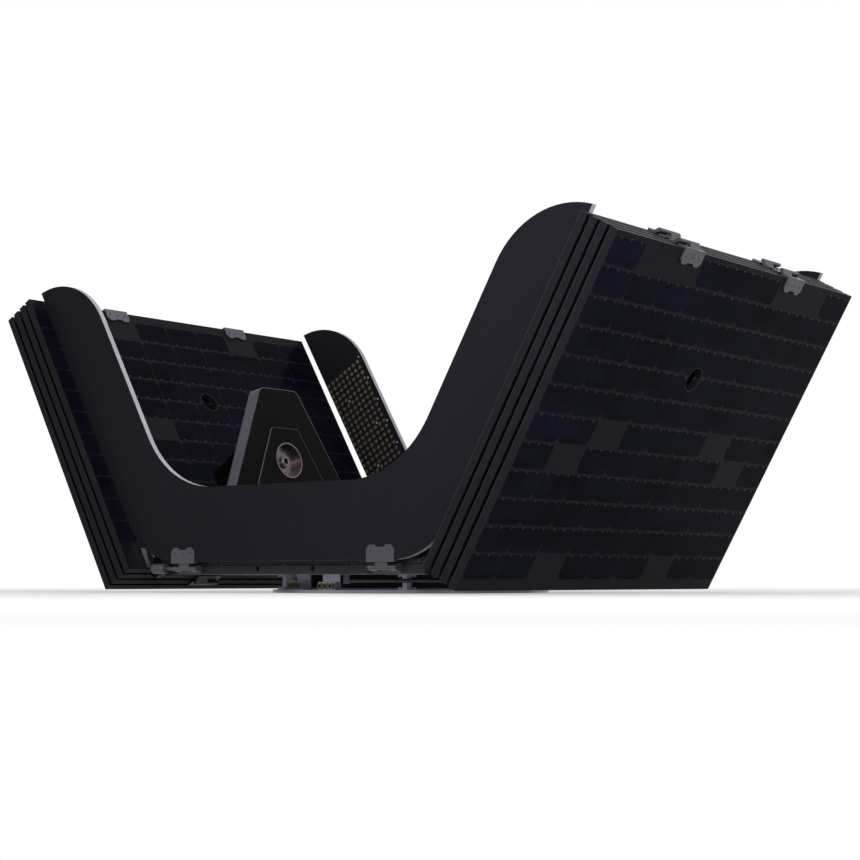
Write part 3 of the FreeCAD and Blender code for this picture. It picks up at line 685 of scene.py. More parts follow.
def group_skins():
    """The cut edges of a panel's two skins, at its inner and outer face, on every panel."""
    wiring, given, result = shader_group(
        "Satellite Skin Lines",
        [("Lean", "Float", 0.5), ("Start", "Float", 0.0), ("Pitch", "Float", 0.0176),
         ("Thickness", "Float", 0.012), ("Skin", "Float", 0.0009)],
        [("Line", "Float"), ("Core", "Float")])
    place = wiring.object_place()
    at = wiring.split(place)
    outward = wiring.math("MULTIPLY", wiring.math("ABSOLUTE", at[0]),
                          wiring.math("COSINE", given["Lean"]))
    downward = wiring.math("MULTIPLY", at[2], wiring.math("SINE", given["Lean"]))
    depth = wiring.math("SUBTRACT", wiring.math("SUBTRACT", outward, downward), given["Start"])
    margin = wiring.math("MULTIPLY", given["Pitch"], 0.1)     # wraps between panels, not at a face
    local = wiring.math("MODULO", wiring.math("ADD", depth, margin), given["Pitch"])
    local = wiring.math("SUBTRACT", local, margin)
    inner = wiring.math("LESS_THAN", local, given["Skin"])
    core_end = wiring.math("SUBTRACT", given["Thickness"], given["Skin"])
    outer = wiring.math("MULTIPLY", wiring.math("GREATER_THAN", local, core_end), OUTER_SKIN)
    wiring.feed(result["Line"], wiring.math("MAXIMUM", inner, outer))
    cells = wiring.node("ShaderNodeTexVoronoi", {"Vector": place, "Scale": CORE_CELLS})
    wiring.feed(result["Core"], wiring.ramp(cells.outputs["Distance"], 0.1, 0.6))
    return wiring.tree


def group_cell():
    """Tone of each solar cell, and its fine metal grid lines."""
    wiring, given, result = shader_group(
        "Satellite Cell Tone",
        [("Along", "Float", 0.075), ("Up", "Float", 0.0426), ("Lean", "Float", 0.5),
         ("Line", "Float", 0.0016)],
        [("Tone", "Float"), ("Grid", "Float")])
    at = wiring.split(wiring.object_place())
    up = height_up_slope(wiring, at, given["Lean"])
    column = wiring.math("FLOOR", wiring.math("DIVIDE", at[1], given["Along"]))
    row = wiring.math("FLOOR", wiring.math("DIVIDE", up, given["Up"]))
    spot = wiring.node("ShaderNodeCombineXYZ", {0: column, 1: row}).outputs[0]
    chance = wiring.node("ShaderNodeTexWhiteNoise", {"Vector": spot}).outputs["Value"]
    wiring.feed(result["Tone"], chance)
    line = wiring.math("PINGPONG", wiring.math("DIVIDE", at[1], given["Line"]), 0.5)
    wiring.feed(result["Grid"], wiring.ramp(line, 0.04, 0.1, 1.0, 0.0))
    return wiring.tree


GROUPS = {}


def shader_groups():
    """Builds each shader group once."""
    if not GROUPS:
        GROUPS.update(grain=group_grain(), drift=group_drift(), faces=group_faces(),
                      weave=group_weave(), brushed=group_brushed(), skins=group_skins(),
                      cell=group_cell())
    return GROUPS


# ---- materials ------------------------------------------------------------------------------

GRAIN_DEPTH = 0.3 * MM          # how high each kind of bump stands at full strength
LINE_DEPTH = 0.2 * MM
WEAVE_DEPTH = 0.2 * MM
GLASS_DEPTH = 0.4 * MM


class Finish(Wiring):
    """One material: a Principled BSDF and what feeds it."""

    def __init__(self, name, roughness, metallic=0.0, specular=0.5):
        self.material = bpy.data.materials.new("Satellite " + name)
        self.material.use_nodes = True
        super().__init__(self.material.node_tree)
        self.shader = self.tree.nodes["Principled BSDF"]
        self.shader.inputs["Roughness"].default_value = roughness
        self.shader.inputs["Metallic"].default_value = metallic
        self.shader.inputs["Specular IOR Level"].default_value = specular
        self.roughness = roughness

    def group(self, name, **values):
        """A shader group placed in the material, with its own values."""
        placed = self.tree.nodes.new("ShaderNodeGroup")
        placed.node_tree = shader_groups()[name]
        placed.location = (-400, -220 * len(self.tree.nodes))
        for socket, value in values.items():
            self.feed(placed.inputs[socket], value)
        return placed.outputs

    def drift(self, colour, amount, dust, scale):
        """A colour with an uneven tone and a little dust."""
        return self.group("drift", Color=colour, Amount=amount, Dust=dust, Scale=scale)["Color"]

    def grain(self, scale, spread, smudge):
        """Fine grain in the roughness; gives the grain's height."""
        made = self.group("grain", Scale=scale, Roughness=self.roughness, Spread=spread,
                          Smudge=smudge)
        self.feed(self.shader.inputs["Roughness"], made["Roughness"])
        return made["Height"]

    def colour(self, value):
        """Feeds the base colour."""
        self.feed(self.shader.inputs["Base Color"], value)

    def bump(self, height, strength, depth):
        """Tilts the surface by a height."""
        made = self.node("ShaderNodeBump", {"Height": height, "Strength": strength,
                                            "Distance": depth})
        self.feed(self.shader.inputs["Normal"], made.outputs[0])


def plain_finish(name, colour, roughness, metallic=0.0, specular=0.5, scale=900.0, dust=0.03):
    """Paint, plastic or anodised metal: uneven tone and fine grain."""
    finish = Finish(name, roughness, metallic, specular)
    finish.colour(finish.drift(colour, amount=0.12, dust=dust, scale=6.0))
    height = finish.grain(scale, spread=0.1, smudge=0.12)
    finish.bump(height, strength=0.15, depth=GRAIN_DEPTH)
    return finish.material


def metal_finish(name, colour, roughness, stretch, metallic=0.85):
    """Machined metal: drawn lines in tone, roughness and height."""
    finish = Finish(name, roughness, metallic)
    drawn = finish.group("brushed", Stretch=stretch, Roughness=roughness, Spread=0.2)
    finish.feed(finish.shader.inputs["Roughness"], drawn["Roughness"])
    finish.bump(drawn["Height"], strength=0.1, depth=LINE_DEPTH)
    toned = finish.drift(colour, amount=0.1, dust=0.02, scale=9.0)
    finish.colour(finish.scaled(toned, drawn["Tone"]))
    return finish.material


def plate_finish(colours):
    """Antenna plates: dark satin twill faces, and machined edges made pale as a painted highlight.
    """
    finish = Finish("antenna skin", 0.42, specular=0.02)
    broad = finish.group("faces", Axis=(0, 1, 0), Mirrored=0.0)["Broad"]
    weave = finish.group("weave", Tow=1.6 * MM, Mirrored=0.0, Lean=0.0)
    skin = finish.drift(colours.plate, amount=0.06, dust=0.002, scale=3.0)
    face = finish.scaled(skin, finish.ramp(weave["Tone"], 0.0, 1.0, 0.98, 1.02))
    # Painted highlight: every face that is not broad takes the pale edge colour, for the light that
    # edges catch.
    edge = finish.drift(colours.plate_edge_highlight, amount=0.1, dust=0.04, scale=30.0)
    finish.colour(finish.mix(broad, edge, face))
    finish.grain(scale=1400.0, spread=0.12, smudge=0.14)
    height = finish.math("MULTIPLY", weave["Height"], broad)
    finish.bump(height, strength=0.06, depth=WEAVE_DEPTH)
    return finish.material


def panel_finish(colours, panel):
    """Solar panels: woven skins on a honeycomb core that shows at the edges."""
    following = Panel(panel.side, panel.number + 1)
    pitch = (following.foot - panel.foot).dot(panel.normal)
    start = panel.foot.dot(panel.normal)
    axis = (panel.normal.x, 0.0, panel.normal.z)
    finish = Finish("panel skin", 0.5, specular=0.05)
    broad = finish.group("faces", Axis=axis, Mirrored=1.0)["Broad"]
    weave = finish.group("weave", Tow=2.2 * MM, Mirrored=1.0, Lean=panel.lean)
    skin = finish.drift(colours.substrate, amount=0.1, dust=0.003, scale=4.0)
    face = finish.scaled(skin, finish.ramp(weave["Tone"], 0.0, 1.0, 0.96, 1.04))
    skins = finish.group("skins", Lean=panel.lean, Start=start, Pitch=pitch,
                         Thickness=panel.thickness)
    edge = finish.drift(colours.panel_edge, amount=0.12, dust=0.003, scale=25.0)
    core = finish.math("MULTIPLY", skins["Core"], CORE_SHOW)
    cored = finish.mix(core, edge, colours.skin_line)
    lined = finish.mix(skins["Line"], cored, colours.skin_line)
    finish.colour(finish.mix(broad, lined, face))
    finish.grain(scale=1100.0, spread=0.12, smudge=0.1)
    height = finish.math("MULTIPLY", weave["Height"], broad)
    finish.bump(height, strength=0.15, depth=WEAVE_DEPTH)
    return finish.material


def cell_finish(colours, cells, panel):
    """Dark glass with fine grid lines; each cell has its own slight tone."""
    finish = Finish("cell glass", 0.2, specular=0.01)
    made = finish.group("cell", Along=panel.cell_pitch(cells), Up=cells.height + cells.gap_up,
                        Lean=panel.lean)
    toned = finish.scaled(colours.cell, finish.ramp(made["Tone"], 0.0, 1.0, 0.7, 1.35))
    lines = finish.math("MULTIPLY", made["Grid"], GRID_SHOW)
    finish.colour(finish.mix(lines, toned, colours.tab))
    height = finish.grain(scale=60.0, spread=0.06, smudge=0.08)
    finish.bump(height, strength=0.05, depth=GLASS_DEPTH)
    return finish.material


def pylon_finish(colours):
    """Pylons: matt black faces, and the machined edges made pale as a painted highlight."""
    finish = Finish("pylon skin", 0.5, specular=0.04)
    axis = pylon_place("right").out
    plate = finish.group("faces", Axis=(-axis.x, 0.0, -axis.z), Mirrored=1.0)["Broad"]
    rib = finish.group("faces", Axis=(0.0, 1.0, 0.0), From=0.96, To=0.98)["Broad"]
    face = finish.drift(colours.pylon, amount=0.15, dust=0.003, scale=8.0)
    # Painted highlight: every face that is not a broad plate or rib face takes the pale edge colour.
    edge = finish.drift(colours.pylon_edge_highlight, amount=0.12, dust=0.04, scale=20.0)
    finish.colour(finish.mix(finish.math("MAXIMUM", plate, rib), edge, face))
    height = finish.grain(scale=1000.0, spread=0.1, smudge=0.12)
    finish.bump(height, strength=0.2, depth=GRAIN_DEPTH)
    return finish.material


FINISHES = {}


def finishes():
    """Every material by its name, made once."""
    if FINISHES:
        return FINISHES
    colours = bpy.context.scene.satellite_colours
    cells = bpy.context.scene.satellite_cells
    first = Panel("right", 1)
    along_y, along_x = (900.0, 40.0, 900.0), (40.0, 900.0, 900.0)       # how lines are stretched
    turned = (300.0, 300.0, 900.0)
    FINISHES.update(
        plate=plate_finish(colours),
        panel=panel_finish(colours, first),
        cell=cell_finish(colours, cells, first),
        pylon=pylon_finish(colours),
        tab=metal_finish("cell tab", colours.tab, 0.3, turned),
        liner=plain_finish("hole liner", colours.liner, 0.5, specular=0.1, dust=0.004),
        deck=plain_finish("deck skin", colours.deck, 0.45, metallic=0.35, scale=500.0),
        rail=plain_finish("rail", colours.rail, 0.4, metallic=0.2, specular=0.1, scale=1200.0,
                          dust=0.004),
        ring=metal_finish("ring", colours.ring, 0.32, turned, metallic=0.6),
        pale=metal_finish("pale metal", colours.pale, 0.38, turned, metallic=0.4),
        bracket=metal_finish("bracket", colours.bracket, 0.36, along_y, metallic=0.6),
        bracket_x=metal_finish("bracket rail", colours.bracket, 0.36, along_x, metallic=0.6),
        black=plain_finish("black paint", colours.black, 0.5, specular=0.1, scale=1500.0,
                           dust=0.004),
        hub=metal_finish("hub", colours.hub, 0.28, turned, metallic=0.8),
        gold=metal_finish("gold", colours.gold, 0.34, turned, metallic=0.7),
        orange=plain_finish("seal", colours.orange, 0.55),
        tape=plain_finish("wiring tape", colours.tape, 0.35, specular=0.5, scale=700.0),
        # Painted shade: near-black finish for screw sockets, bore floors and the seams round covers,
        # in place of the shade inside them.
        socket=plain_finish("socket", display(8, 8, 9), 0.7, specular=0.02, dust=0.0),
    )
    return FINISHES


# ---- where things lie -----------------------------------------------------------------------

def broad_normal(node, way):
    """Normal of the largest flat stretch of a node that faces a given way."""
    areas = {}
    for polygon in frame["nodes"][node].data.polygons:
        if polygon.normal.dot(way) >= 0.5:
            normal = tuple(round(part, 3) for part in polygon.normal)
            areas[normal] = areas.get(normal, 0.0) + polygon.area
    return Vector(max(areas, key=areas.get)).normalized()


def pylon_place(side):
    """The inner face of a pylon, with its origin at the hub's axis; out is away from the wing."""
    normal = broad_normal(side + "_pylon", Vector((-SIDES[side], 0, 0)))
    level = extent(node_points(side + "_pylon"), normal)[1]
    low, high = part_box(side + "_pylon_hub")
    middle = (low + high) / 2
    middle += normal * (level - middle.dot(normal))
    up = Z - normal * normal.z
    return Place(middle, up.cross(normal), up)


def end_place(x, y, z, facing):
    """A spot on an upright face at the front, facing -1, or at the rear, facing 1."""
    return Place((x, y, z), (-facing, 0, 0), Z)


def down(point):
    """A spot on an underside."""
    return Place(point, (1, 0, 0), (0, -1, 0))


def upward(point):
    """A spot on a top."""
    return Place(point, (1, 0, 0), (0, 1, 0))


def radial(middle):
    """The level ways away from the satellite's upright axis, and at right angles to that."""
    outward = Vector((middle.x, middle.y, 0)).normalized()
    return outward, Z.cross(outward)


def rim_spots(low, high, inset, end, along_x, along_y):
    """Spots (x, y) inside a box's four sides, at shares of each side's length without its ends."""
    spots = []
    for along, across, shares in ((0, 1, along_x), (1, 0, along_y)):
        free = high[along] - low[along] - 2 * end
        for share in shares:
            for level in (low[across] + inset, high[across] - inset):
                spot = [level, level]
                spot[along] = low[along] + end + share * free
                spots.append(spot)
    return spots


def leaf_screws(pile, place, wide, radius):
    """Three screws in a row across a hinge leaf."""
    for share in (-0.33, 0.0, 0.33):
        pile.screw(place.moved(share * wide, 0.0), radius)


def row_top(sizes, row):
    """Level of the top of a row of cells, from a face's origin."""
    return -sizes.top_margin - row * (sizes.height + sizes.gap_up)


# ---- operators ------------------------------------------------------------------------------

class SATELLITE_OT_cells(bpy.types.Operator):
    """Solar cells with their tabs, and the hold-down hole's rim, on each panel's sunny face"""
    bl_idname = "satellite.cells"
    bl_label = "Solar Cells"

    bare = {1: (2, 3, 7, 8), 7: (3, 7), 8: (2, 8), 12: (3, 7)}     # row: columns with no cell
    top_crop = 0.2                      # radius of a cell's upper corners, of the lower ones'
    leaf_rise = 0.5 * MM                # a hinge leaf that stands out further hides cells
    tab_spots = (1 / 6, 1 / 2, 5 / 6)   # across a cell
    tab_overlap = 0.3                   # how far a tab crosses the gap above
    tab_thickness = 0.5                 # of a cell's

    def execute(self, context):
        sizes = context.scene.satellite_cells
        for panel in all_panels():
            outer = panel.number % 2 == 0
            pile = Pile("cell", "tab", "liner")
            self.lay(pile, panel, panel.face(outer, upright=outer), sizes, outer)
            pile.piece(panel.body + "_cells", panel.body)
        return {"FINISHED"}

    def lay(self, pile, panel, face, sizes, upright):
        """Every cell of one face, and the rim of its hole."""
        pitch = panel.cell_pitch(sizes)
        wide, tall = pitch - sizes.gap_along, sizes.height
        radii = [sizes.crop] * 2 + [sizes.crop * self.top_crop] * 2
        hole = (panel.span / 2, panel.hole_level(upright))
        covered = self.covered(panel, face)
        for row in range(sizes.rows):
            top = row_top(sizes, row)
            bottom = top - tall
            for column in range(sizes.columns):
                left = sizes.end_margin + column * pitch
                right = left + wide
                hidden = any(low_x < right and high_x > left and low_y < top and high_y > bottom
                             for low_x, high_x, low_y, high_y in covered)
                if hidden or column + 1 in self.bare.get(row + 1, ()):
                    continue
                outline = rounded([(left, bottom), (right, bottom), (right, top), (left, top)],
                                  radii)
                outline = bitten(outline, hole, panel.hole_radius + 2 * sizes.hole_ring)
                pile.slab(outline, face, sizes.thickness)
                self.tabs(pile, face, left, top, wide, sizes)
        pile.washer(panel.hole_radius, panel.hole_radius + sizes.hole_ring, 2 * sizes.thickness,
                    face.moved(*hole), sides=48, finish="liner")

    def covered(self, panel, face):
        """Stretches of the face that lie under a hinge leaf, where no cell is laid."""
        stretches = []
        for leaf in solids(panel.body + "_hinges"):
            points = [point - face.origin for point in leaf]
            if extent(points, face.out)[1] > self.leaf_rise:
                stretches.append(extent(points, face.across) + extent(points, face.up))
        return stretches

    def tabs(self, pile, face, left, top, wide, sizes):
        """Small triangles that bridge from a cell to the row above."""
        half, over = sizes.tab / 2, sizes.gap_up * self.tab_overlap
        for share in self.tab_spots:
            middle = left + wide * share
            outline = [(middle, top - sizes.tab), (middle + half, top + over),
                       (middle - half, top + over)]
            pile.slab(outline, face, sizes.thickness * self.tab_thickness, "tab",
                      base=sizes.thickness)


class SATELLITE_OT_wiring(bpy.types.Operator):
    """Flat wiring under tape on the bare back of each solar panel"""
    bl_idname = "satellite.wiring"
    bl_label = "Panel Wiring"

    tape = 4.0 * MM                     # width of one strip of tape; the shares below are of it
    tape_spot = 0.28                    # place of a strip, as a share of a column of cells
    tape_corner = 0.3
    hole_gap = 3.0                      # from the hold-down hole to a strip
    joint = (0.4, 0.36)                 # radius of a soldered joint at its foot and its top
    rows_to_joint = 3                   # rows of cells from one joint to the next
    foot_strips = ((0.86, 1.0), (0.81, 3.2))        # length, of the panel's span, and level
    foot_size = (1.6, 0.4)              # height and corner of the strips along the foot

    def execute(self, context):
        sizes = context.scene.satellite_cells
        for panel in all_panels():
            outer = panel.number % 2 == 1
            pile = Pile("tape", "tab")
            self.lay(pile, panel, panel.face(outer, upright=outer), sizes, outer)
            pile.piece(panel.body + "_wiring", panel.body)
        return {"FINISHED"}

    def lay(self, pile, panel, face, sizes, upright):
        """A strip up each column, broken round the hole, and two wide strips along the foot."""
        tape, thick = self.tape, sizes.thickness
        bottom, top = -panel.height + 2 * sizes.top_margin, -2 * sizes.top_margin
        hole = panel.hole_level(upright)
        clear = panel.hole_radius + self.hole_gap * tape
        for column in range(sizes.columns):
            at = sizes.end_margin + panel.cell_pitch(sizes) * (column + self.tape_spot)
            runs = [(bottom, top)]
            if abs(at - panel.span / 2) < clear:
                runs = [(bottom, hole - clear), (hole + clear, top)]
            for low, high in runs:
                strip = oblong(tape, high - low, tape * self.tape_corner)
                pile.slab(strip, face.moved(at, (low + high) / 2), thick)
            for row in range(1, sizes.rows, self.rows_to_joint):
                joint = face.moved(at, row_top(sizes, row), thick)
                foot, head = self.joint
                pile.rings([joint.circle(tape * foot, 0.0, count=10),
                            joint.circle(tape * head, thick, count=10)], "tab")
        tall, corner = self.foot_size
        for share, level in self.foot_strips:
            strip = oblong(panel.span * share, tape * tall, tape * corner)
            pile.slab(strip, face.moved(panel.span / 2, bottom + level * tape, thick), thick)


class SATELLITE_OT_patches(bpy.types.Operator):
    """Round antenna patches, with screws beside and between them, on each plate's inner face"""
    bl_idname = "satellite.patches"
    bl_label = "Antenna Patches"

    profile = (0.92, 0.6)               # radius of a patch's top, and level where it draws in
    screw_size = 0.4                    # radius of a screw's head, of a patch's
    edge_screws = (0.6, 0.55)           # rows above a patch, and columns past the last one
    rows_to_screw = 4
    inner_screws = ((4, 2), (10, 5), (16, 2), (20, 5))      # row and column just before each

    def execute(self, context):
        sizes = context.scene.satellite_antenna
        for name, facing in PLATES.items():
            low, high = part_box(name + "_antenna")
            level = high.y if facing < 0 else low.y
            pile = Pile("gold", "pale", "socket")
            for side in SIDES:
                self.arm(pile, Panel(side, 1), name, level, facing, sizes)
            pile.piece(name + "_antenna_patches", name + "_antenna")
        return {"FINISHED"}

    def arm(self, pile, panel, name, level, facing, sizes):
        """The patches on one arm, in columns that run up beside its wing."""
        edge = max(panel.measure(point)[0] for point in node_points(name + "_antenna"))
        across = panel.slope.cross(Vector((0, -facing, 0)))
        place = Place((panel.foot.x, level, panel.foot.z), across, panel.slope)
        inward = -1 if place.across.dot(panel.normal) > 0 else 1

        def spot(row, column):
            return place.moved(inward * (sizes.from_edge - edge + column * sizes.pitch),
                               sizes.top_row - row * sizes.pitch)

        high = sizes.thickness / sizes.radius
        top, shoulder = self.profile
        patch = ((1.0, 0.0), (1.0, shoulder * high), (top, high))
        for row in range(sizes.rows):
            for column in range(sizes.columns):
                pile.turned(patch, sizes.radius, spot(row, column), sides=18)
        above, beside = self.edge_screws
        spots = [(row - above, sizes.columns - 1 + beside)
                 for row in range(0, sizes.rows, self.rows_to_screw)]
        spots += [(row + 0.5, column + 0.5) for row, column in self.inner_screws]
        for row, column in spots:
            pile.screw(spot(row, column), sizes.radius * self.screw_size, "pale")


class SATELLITE_OT_panel_fasteners(bpy.types.Operator):
    """Screws on the hinge leaves of the innermost and outermost panels"""
    bl_idname = "satellite.panel_fasteners"
    bl_label = "Panel Fasteners"

    below_edge = 0.42                   # level of the screws, as a share of a leaf's reach

    def execute(self, context):
        sizes = context.scene.satellite_fasteners
        for side in SIDES:
            for number in (PANELS[0], PANELS[-1]):
                panel = Panel(side, number)
                pile = Pile("bracket", "socket")
                for leaf in solids(panel.body + "_hinges"):
                    self.leaf(pile, panel, leaf, number == PANELS[-1], sizes)
                pile.piece(panel.body + "_fasteners", panel.body)
        return {"FINISHED"}

    def leaf(self, pile, panel, leaf, outer, sizes):
        """Screws on a leaf at the panel's top edge; the root hinges at its foot get none."""
        measured = [panel.measure(point) for point in leaf]
        bottom = min(up for _, up in measured)
        if bottom < panel.height / 2:
            return
        way = 1 if outer else -1
        rise = max(way * out for out, _ in measured) - (panel.thickness if outer else 0.0)
        face = panel.face(outer, upright=True)
        y_low, y_high = extent(leaf, Y)
        across = ((y_low + y_high) / 2 - face.origin.y) * face.across.y
        place = face.moved(across, (bottom - panel.height) * self.below_edge, rise)
        leaf_screws(pile, place, y_high - y_low, sizes.small)


class SATELLITE_OT_antenna_fasteners(bpy.types.Operator):
    """Screws on the hinge leaves of the antenna plates"""
    bl_idname = "satellite.antenna_fasteners"
    bl_label = "Antenna Fasteners"

    above_foot = 0.6                    # level of the screws, as a share of a leaf's reach

    def execute(self, context):
        sizes = context.scene.satellite_fasteners
        for name, facing in PLATES.items():
            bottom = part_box(name + "_antenna")[0].z
            pile = Pile("bracket", "socket")
            for leaf in solids(name + "_antenna_hinges"):
                low, high = limits(leaf)
                place = end_place((low.x + high.x) / 2, low.y if facing < 0 else high.y,
                                  bottom + (high.z - bottom) * self.above_foot, facing)
                leaf_screws(pile, place, high.x - low.x, sizes.small)
            pile.piece(name + "_antenna_fasteners", name + "_antenna")
        return {"FINISHED"}


class SATELLITE_OT_rail_details(bpy.types.Operator):
    """Covers, each over a near-black sheet of painted shade for the seam round it, and screws, on
    the deck's two closing rails
    """
    bl_idname = "satellite.rail_details"
    bl_label = "Rail Details"

    covers_in_row = 4
    cover_height = 0.33                 # of the rail's height
    cover_thickness = 0.5 * MM
    cover_gap = 12.0 * MM               # from one cover to the next
    seam = 1.1 * MM                     # width of the seam round a cover
    seam_thickness = 0.4                # of a cover's
    below_edge = 1.2 * MM               # a cover's distance from the rail's top edge
    cover_bevel = 0.15 * MM
    cover_screw = 0.6                   # radius of a cover's screws, of a small screw's
    cover_screw_inset = 5.0 * MM        # from the cover's end
    leaf_screw = 0.7                    # radius of a fixed leaf's screws, of a small screw's
    leaf_screw_share = 0.3              # from the leaf's middle, of its width
    leaf_screw_up = 2.6 * MM            # from its foot
    leaf_screw_out = 2.4 * MM           # from the rail

    def execute(self, context):
        sizes = context.scene.satellite_fasteners
        for name, facing in PLATES.items():
            low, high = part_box(name + "_rail")
            middle = end_place((low.x + high.x) / 2, low.y if facing < 0 else high.y,
                               (low.z + high.z) / 2, facing)
            pile = Pile("bracket", "socket", "rail")
            self.covers(pile, middle, high.x - low.x, high.z - low.z, sizes)
            self.fixed_leaves(pile, name, middle, sizes)
            pile.piece(name + "_rail_details", "bus")
        return {"FINISHED"}

    def covers(self, pile, middle, span, tall, sizes):
        """Thin covers in a row under the rail's top edge, each over a near-black sheet that paints
        the shaded seam round it.
        """
        seam, thick = self.seam, self.cover_thickness
        pitch = span / self.covers_in_row
        wide, high = pitch - self.cover_gap, tall * self.cover_height
        for across in spread(self.covers_in_row, pitch):
            spot = middle.moved(across, tall / 2 - high / 2 - self.below_edge)
            # Painted shade: a near-black sheet a seam wider than the cover draws the shaded gap
            # round it.
            pile.slab(oblong(wide + 2 * seam, high + 2 * seam, seam), spot,
                      thick * self.seam_thickness, "socket")
            pile.slab(oblong(wide, high, seam), spot, thick, "rail", self.cover_bevel)
            for way in (-1, 1):
                end = spot.moved(way * (wide / 2 - self.cover_screw_inset), 0, thick)
                pile.screw(end, sizes.small * self.cover_screw, "rail")

    def fixed_leaves(self, pile, name, middle, sizes):
        """Two screws on each fixed hinge leaf, beside its knuckles."""
        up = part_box(name + "_rail_hinges")[0].z + self.leaf_screw_up - middle.origin.z
        for leaf in solids(name + "_antenna_hinges"):
            low, high = limits(leaf)
            across = ((low.x + high.x) / 2 - middle.origin.x) * middle.across.x
            for way in (-1, 1):
                beside = way * self.leaf_screw_share * (high.x - low.x)
                spot = middle.moved(across + beside, up, self.leaf_screw_out)
                pile.screw(spot, sizes.small * self.leaf_screw)


class SATELLITE_OT_ring_details(bpy.types.Operator):
    """Screws on the stand-offs, shells on the ring's plugs, and plates on the switches"""
    bl_idname = "satellite.ring_details"
    bl_label = "Ring Details"

    post_screws = 0.36                  # from a stand-off's middle, of its width
    shell_size = 0.36                   # radius of a plug's shell, of the plug's height
    shell_room = 2.6                    # length of plug that a shell takes up, in its radii
    shell_pitch = 2.5                   # from one shell to the next, in radii
    switch_screws = (0.38, 0.2)         # beside and above a switch's middle, of its own size
    switch_plate = (0.4, 0.5, 0.1)      # width, of the switch's; height and corner, of its height
    switch_plate_rise = 1.2 * MM
    switch_plate_bevel = 0.3 * MM

    def execute(self, context):
        sizes = context.scene.satellite_fasteners
        pile = Pile("pale", "socket", "gold", "orange", "black")
        for post in solids("ring_posts"):
            self.post(pile, post, sizes)
        for plug in solids("ring_connectors"):
            self.plug(pile, plug)
        for switch in solids("switch_boxes"):
            self.switch(pile, switch, sizes)
        pile.piece("ring_details", "bus")
        return {"FINISHED"}

    def post(self, pile, post, sizes):
        """Two screws on the foot of a stand-off, and two under its head."""
        low, high = limits(post)
        middle = (low + high) / 2
        _, foot, *_, head, _ = levels(post, Z)
        _, beside = radial(middle)
        for way in (-1, 1):
            spot = middle + beside * way * (high.x - low.x) * self.post_screws
            pile.screw(upward((spot.x, spot.y, foot)), sizes.small)
            pile.screw(down((spot.x, spot.y, head)), sizes.small)

    def plug(self, pile, plug):
        """Round shells in a row on the plug's outer face, each with a seal and a black insert."""
        low, high = limits(plug)
        outward, beside = radial((low + high) / 2)
        bottom, top = levels(plug, Z)[:2]
        reach = extent(plug, beside)
        origin = outward * extent(plug, outward)[1] + beside * sum(reach) / 2
        place = Place(origin + Z * (bottom + top) / 2, beside, Z)
        radius = (top - bottom) * self.shell_size
        count = max(1, int((reach[1] - reach[0]) / (self.shell_room * radius)))
        for index, across in enumerate(spread(count, self.shell_pitch * radius)):
            spot = place.moved(across, 0.0)
            seal = "orange" if index == 0 else "pale"
            pile.turned(PLUG_SHELL, radius, spot, sides=20, finish="gold")
            pile.turned(PLUG_SEAL, radius, spot, sides=20, finish=seal)
            pile.turned(PLUG_INSERT, radius, spot, sides=16, finish="black")

    def switch(self, pile, switch, sizes):
        """A small raised plate and two screws on the outer face of each separation switch."""
        low, high = limits(switch)
        middle = (low + high) / 2
        way = 1 if middle.x > 0 else -1
        place = Place((high.x if way > 0 else low.x, middle.y, middle.z), (0, way, 0), Z)
        tall, wide = high.z - low.z, high.y - low.y
        beside, above = self.switch_screws
        for side in (-1, 1):
            pile.screw(place.moved(side * beside * wide, above * tall), sizes.small)
        width, height, corner = self.switch_plate
        pile.slab(oblong(wide * width, tall * height, tall * corner), place,
                  self.switch_plate_rise, "gold", self.switch_plate_bevel)


class SATELLITE_OT_belly_details(bpy.types.Operator):
    """Screws round the cover under the deck, and potted inserts in the deck's two skins"""
    bl_idname = "satellite.belly_details"
    bl_label = "Belly And Deck Details"

    rim_screws = 7                      # along one side of the cover
    rim_inset = 0.7                     # of the usual distance from an edge
    insert_grid = (9, 10)               # inserts across the deck, and from front to rear
    insert_clear = 9.0 * MM             # from what stands on the deck
    insert_rise = 0.35 * MM
    bore = (0.45, 0.44)                 # radius of an insert's bore and of its floor, of its own
    bore_floor = 0.1 * MM               # level of the floor

    def execute(self, context):
        sizes = context.scene.satellite_fasteners
        pile = Pile("pale", "socket")
        low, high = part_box("belly_cover")
        inset = sizes.edge * self.rim_inset
        shares = [index / (self.rim_screws - 1) for index in range(self.rim_screws)]
        for x, y in rim_spots(low, high, inset, inset, shares, shares[1:-1]):
            pile.screw(down((x, y, low.z)), sizes.small)
        bore, floor = self.bore
        for place in self.inserts():
            pile.washer(sizes.insert * bore, sizes.insert, self.insert_rise, place, sides=20)
            # Painted shade: a near-black disc inside each insert's ring stands in for its shaded
            # bore.
            pile.disc(sizes.insert * floor, self.bore_floor, place, sides=12, finish="socket")
        pile.piece("deck_inserts", "bus")
        return {"FINISHED"}

    def inserts(self):
        """Spots on the deck's top and underside, clear of what stands there."""
        low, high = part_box("deck")
        blocked = [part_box(node) for node in ("avionics_module", "belly_cover")]
        blocked += [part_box(side + part) for side in SIDES for part in ("_pylon", "_root_brackets")]
        blocked += [limits(part) for node in ("ring_posts", "ring_connectors", "switch_boxes")
                    for part in solids(node)]
        columns, rows = self.insert_grid
        margin = Vector((self.insert_clear, self.insert_clear, MM))
        zones = [(start - margin, end + margin) for start, end in blocked]
        spots = []
        for i in range(columns):
            for j in range(rows):
                x = low.x + (high.x - low.x) * (i + 0.5) / columns
                y = low.y + (high.y - low.y) * (j + 0.5) / rows
                for turned, z in ((upward, high.z), (down, low.z)):
                    if not any(a.x < x < b.x and a.y < y < b.y and a.z < z < b.z
                               for a, b in zones):
                        spots.append(turned((x, y, z)))
        return spots


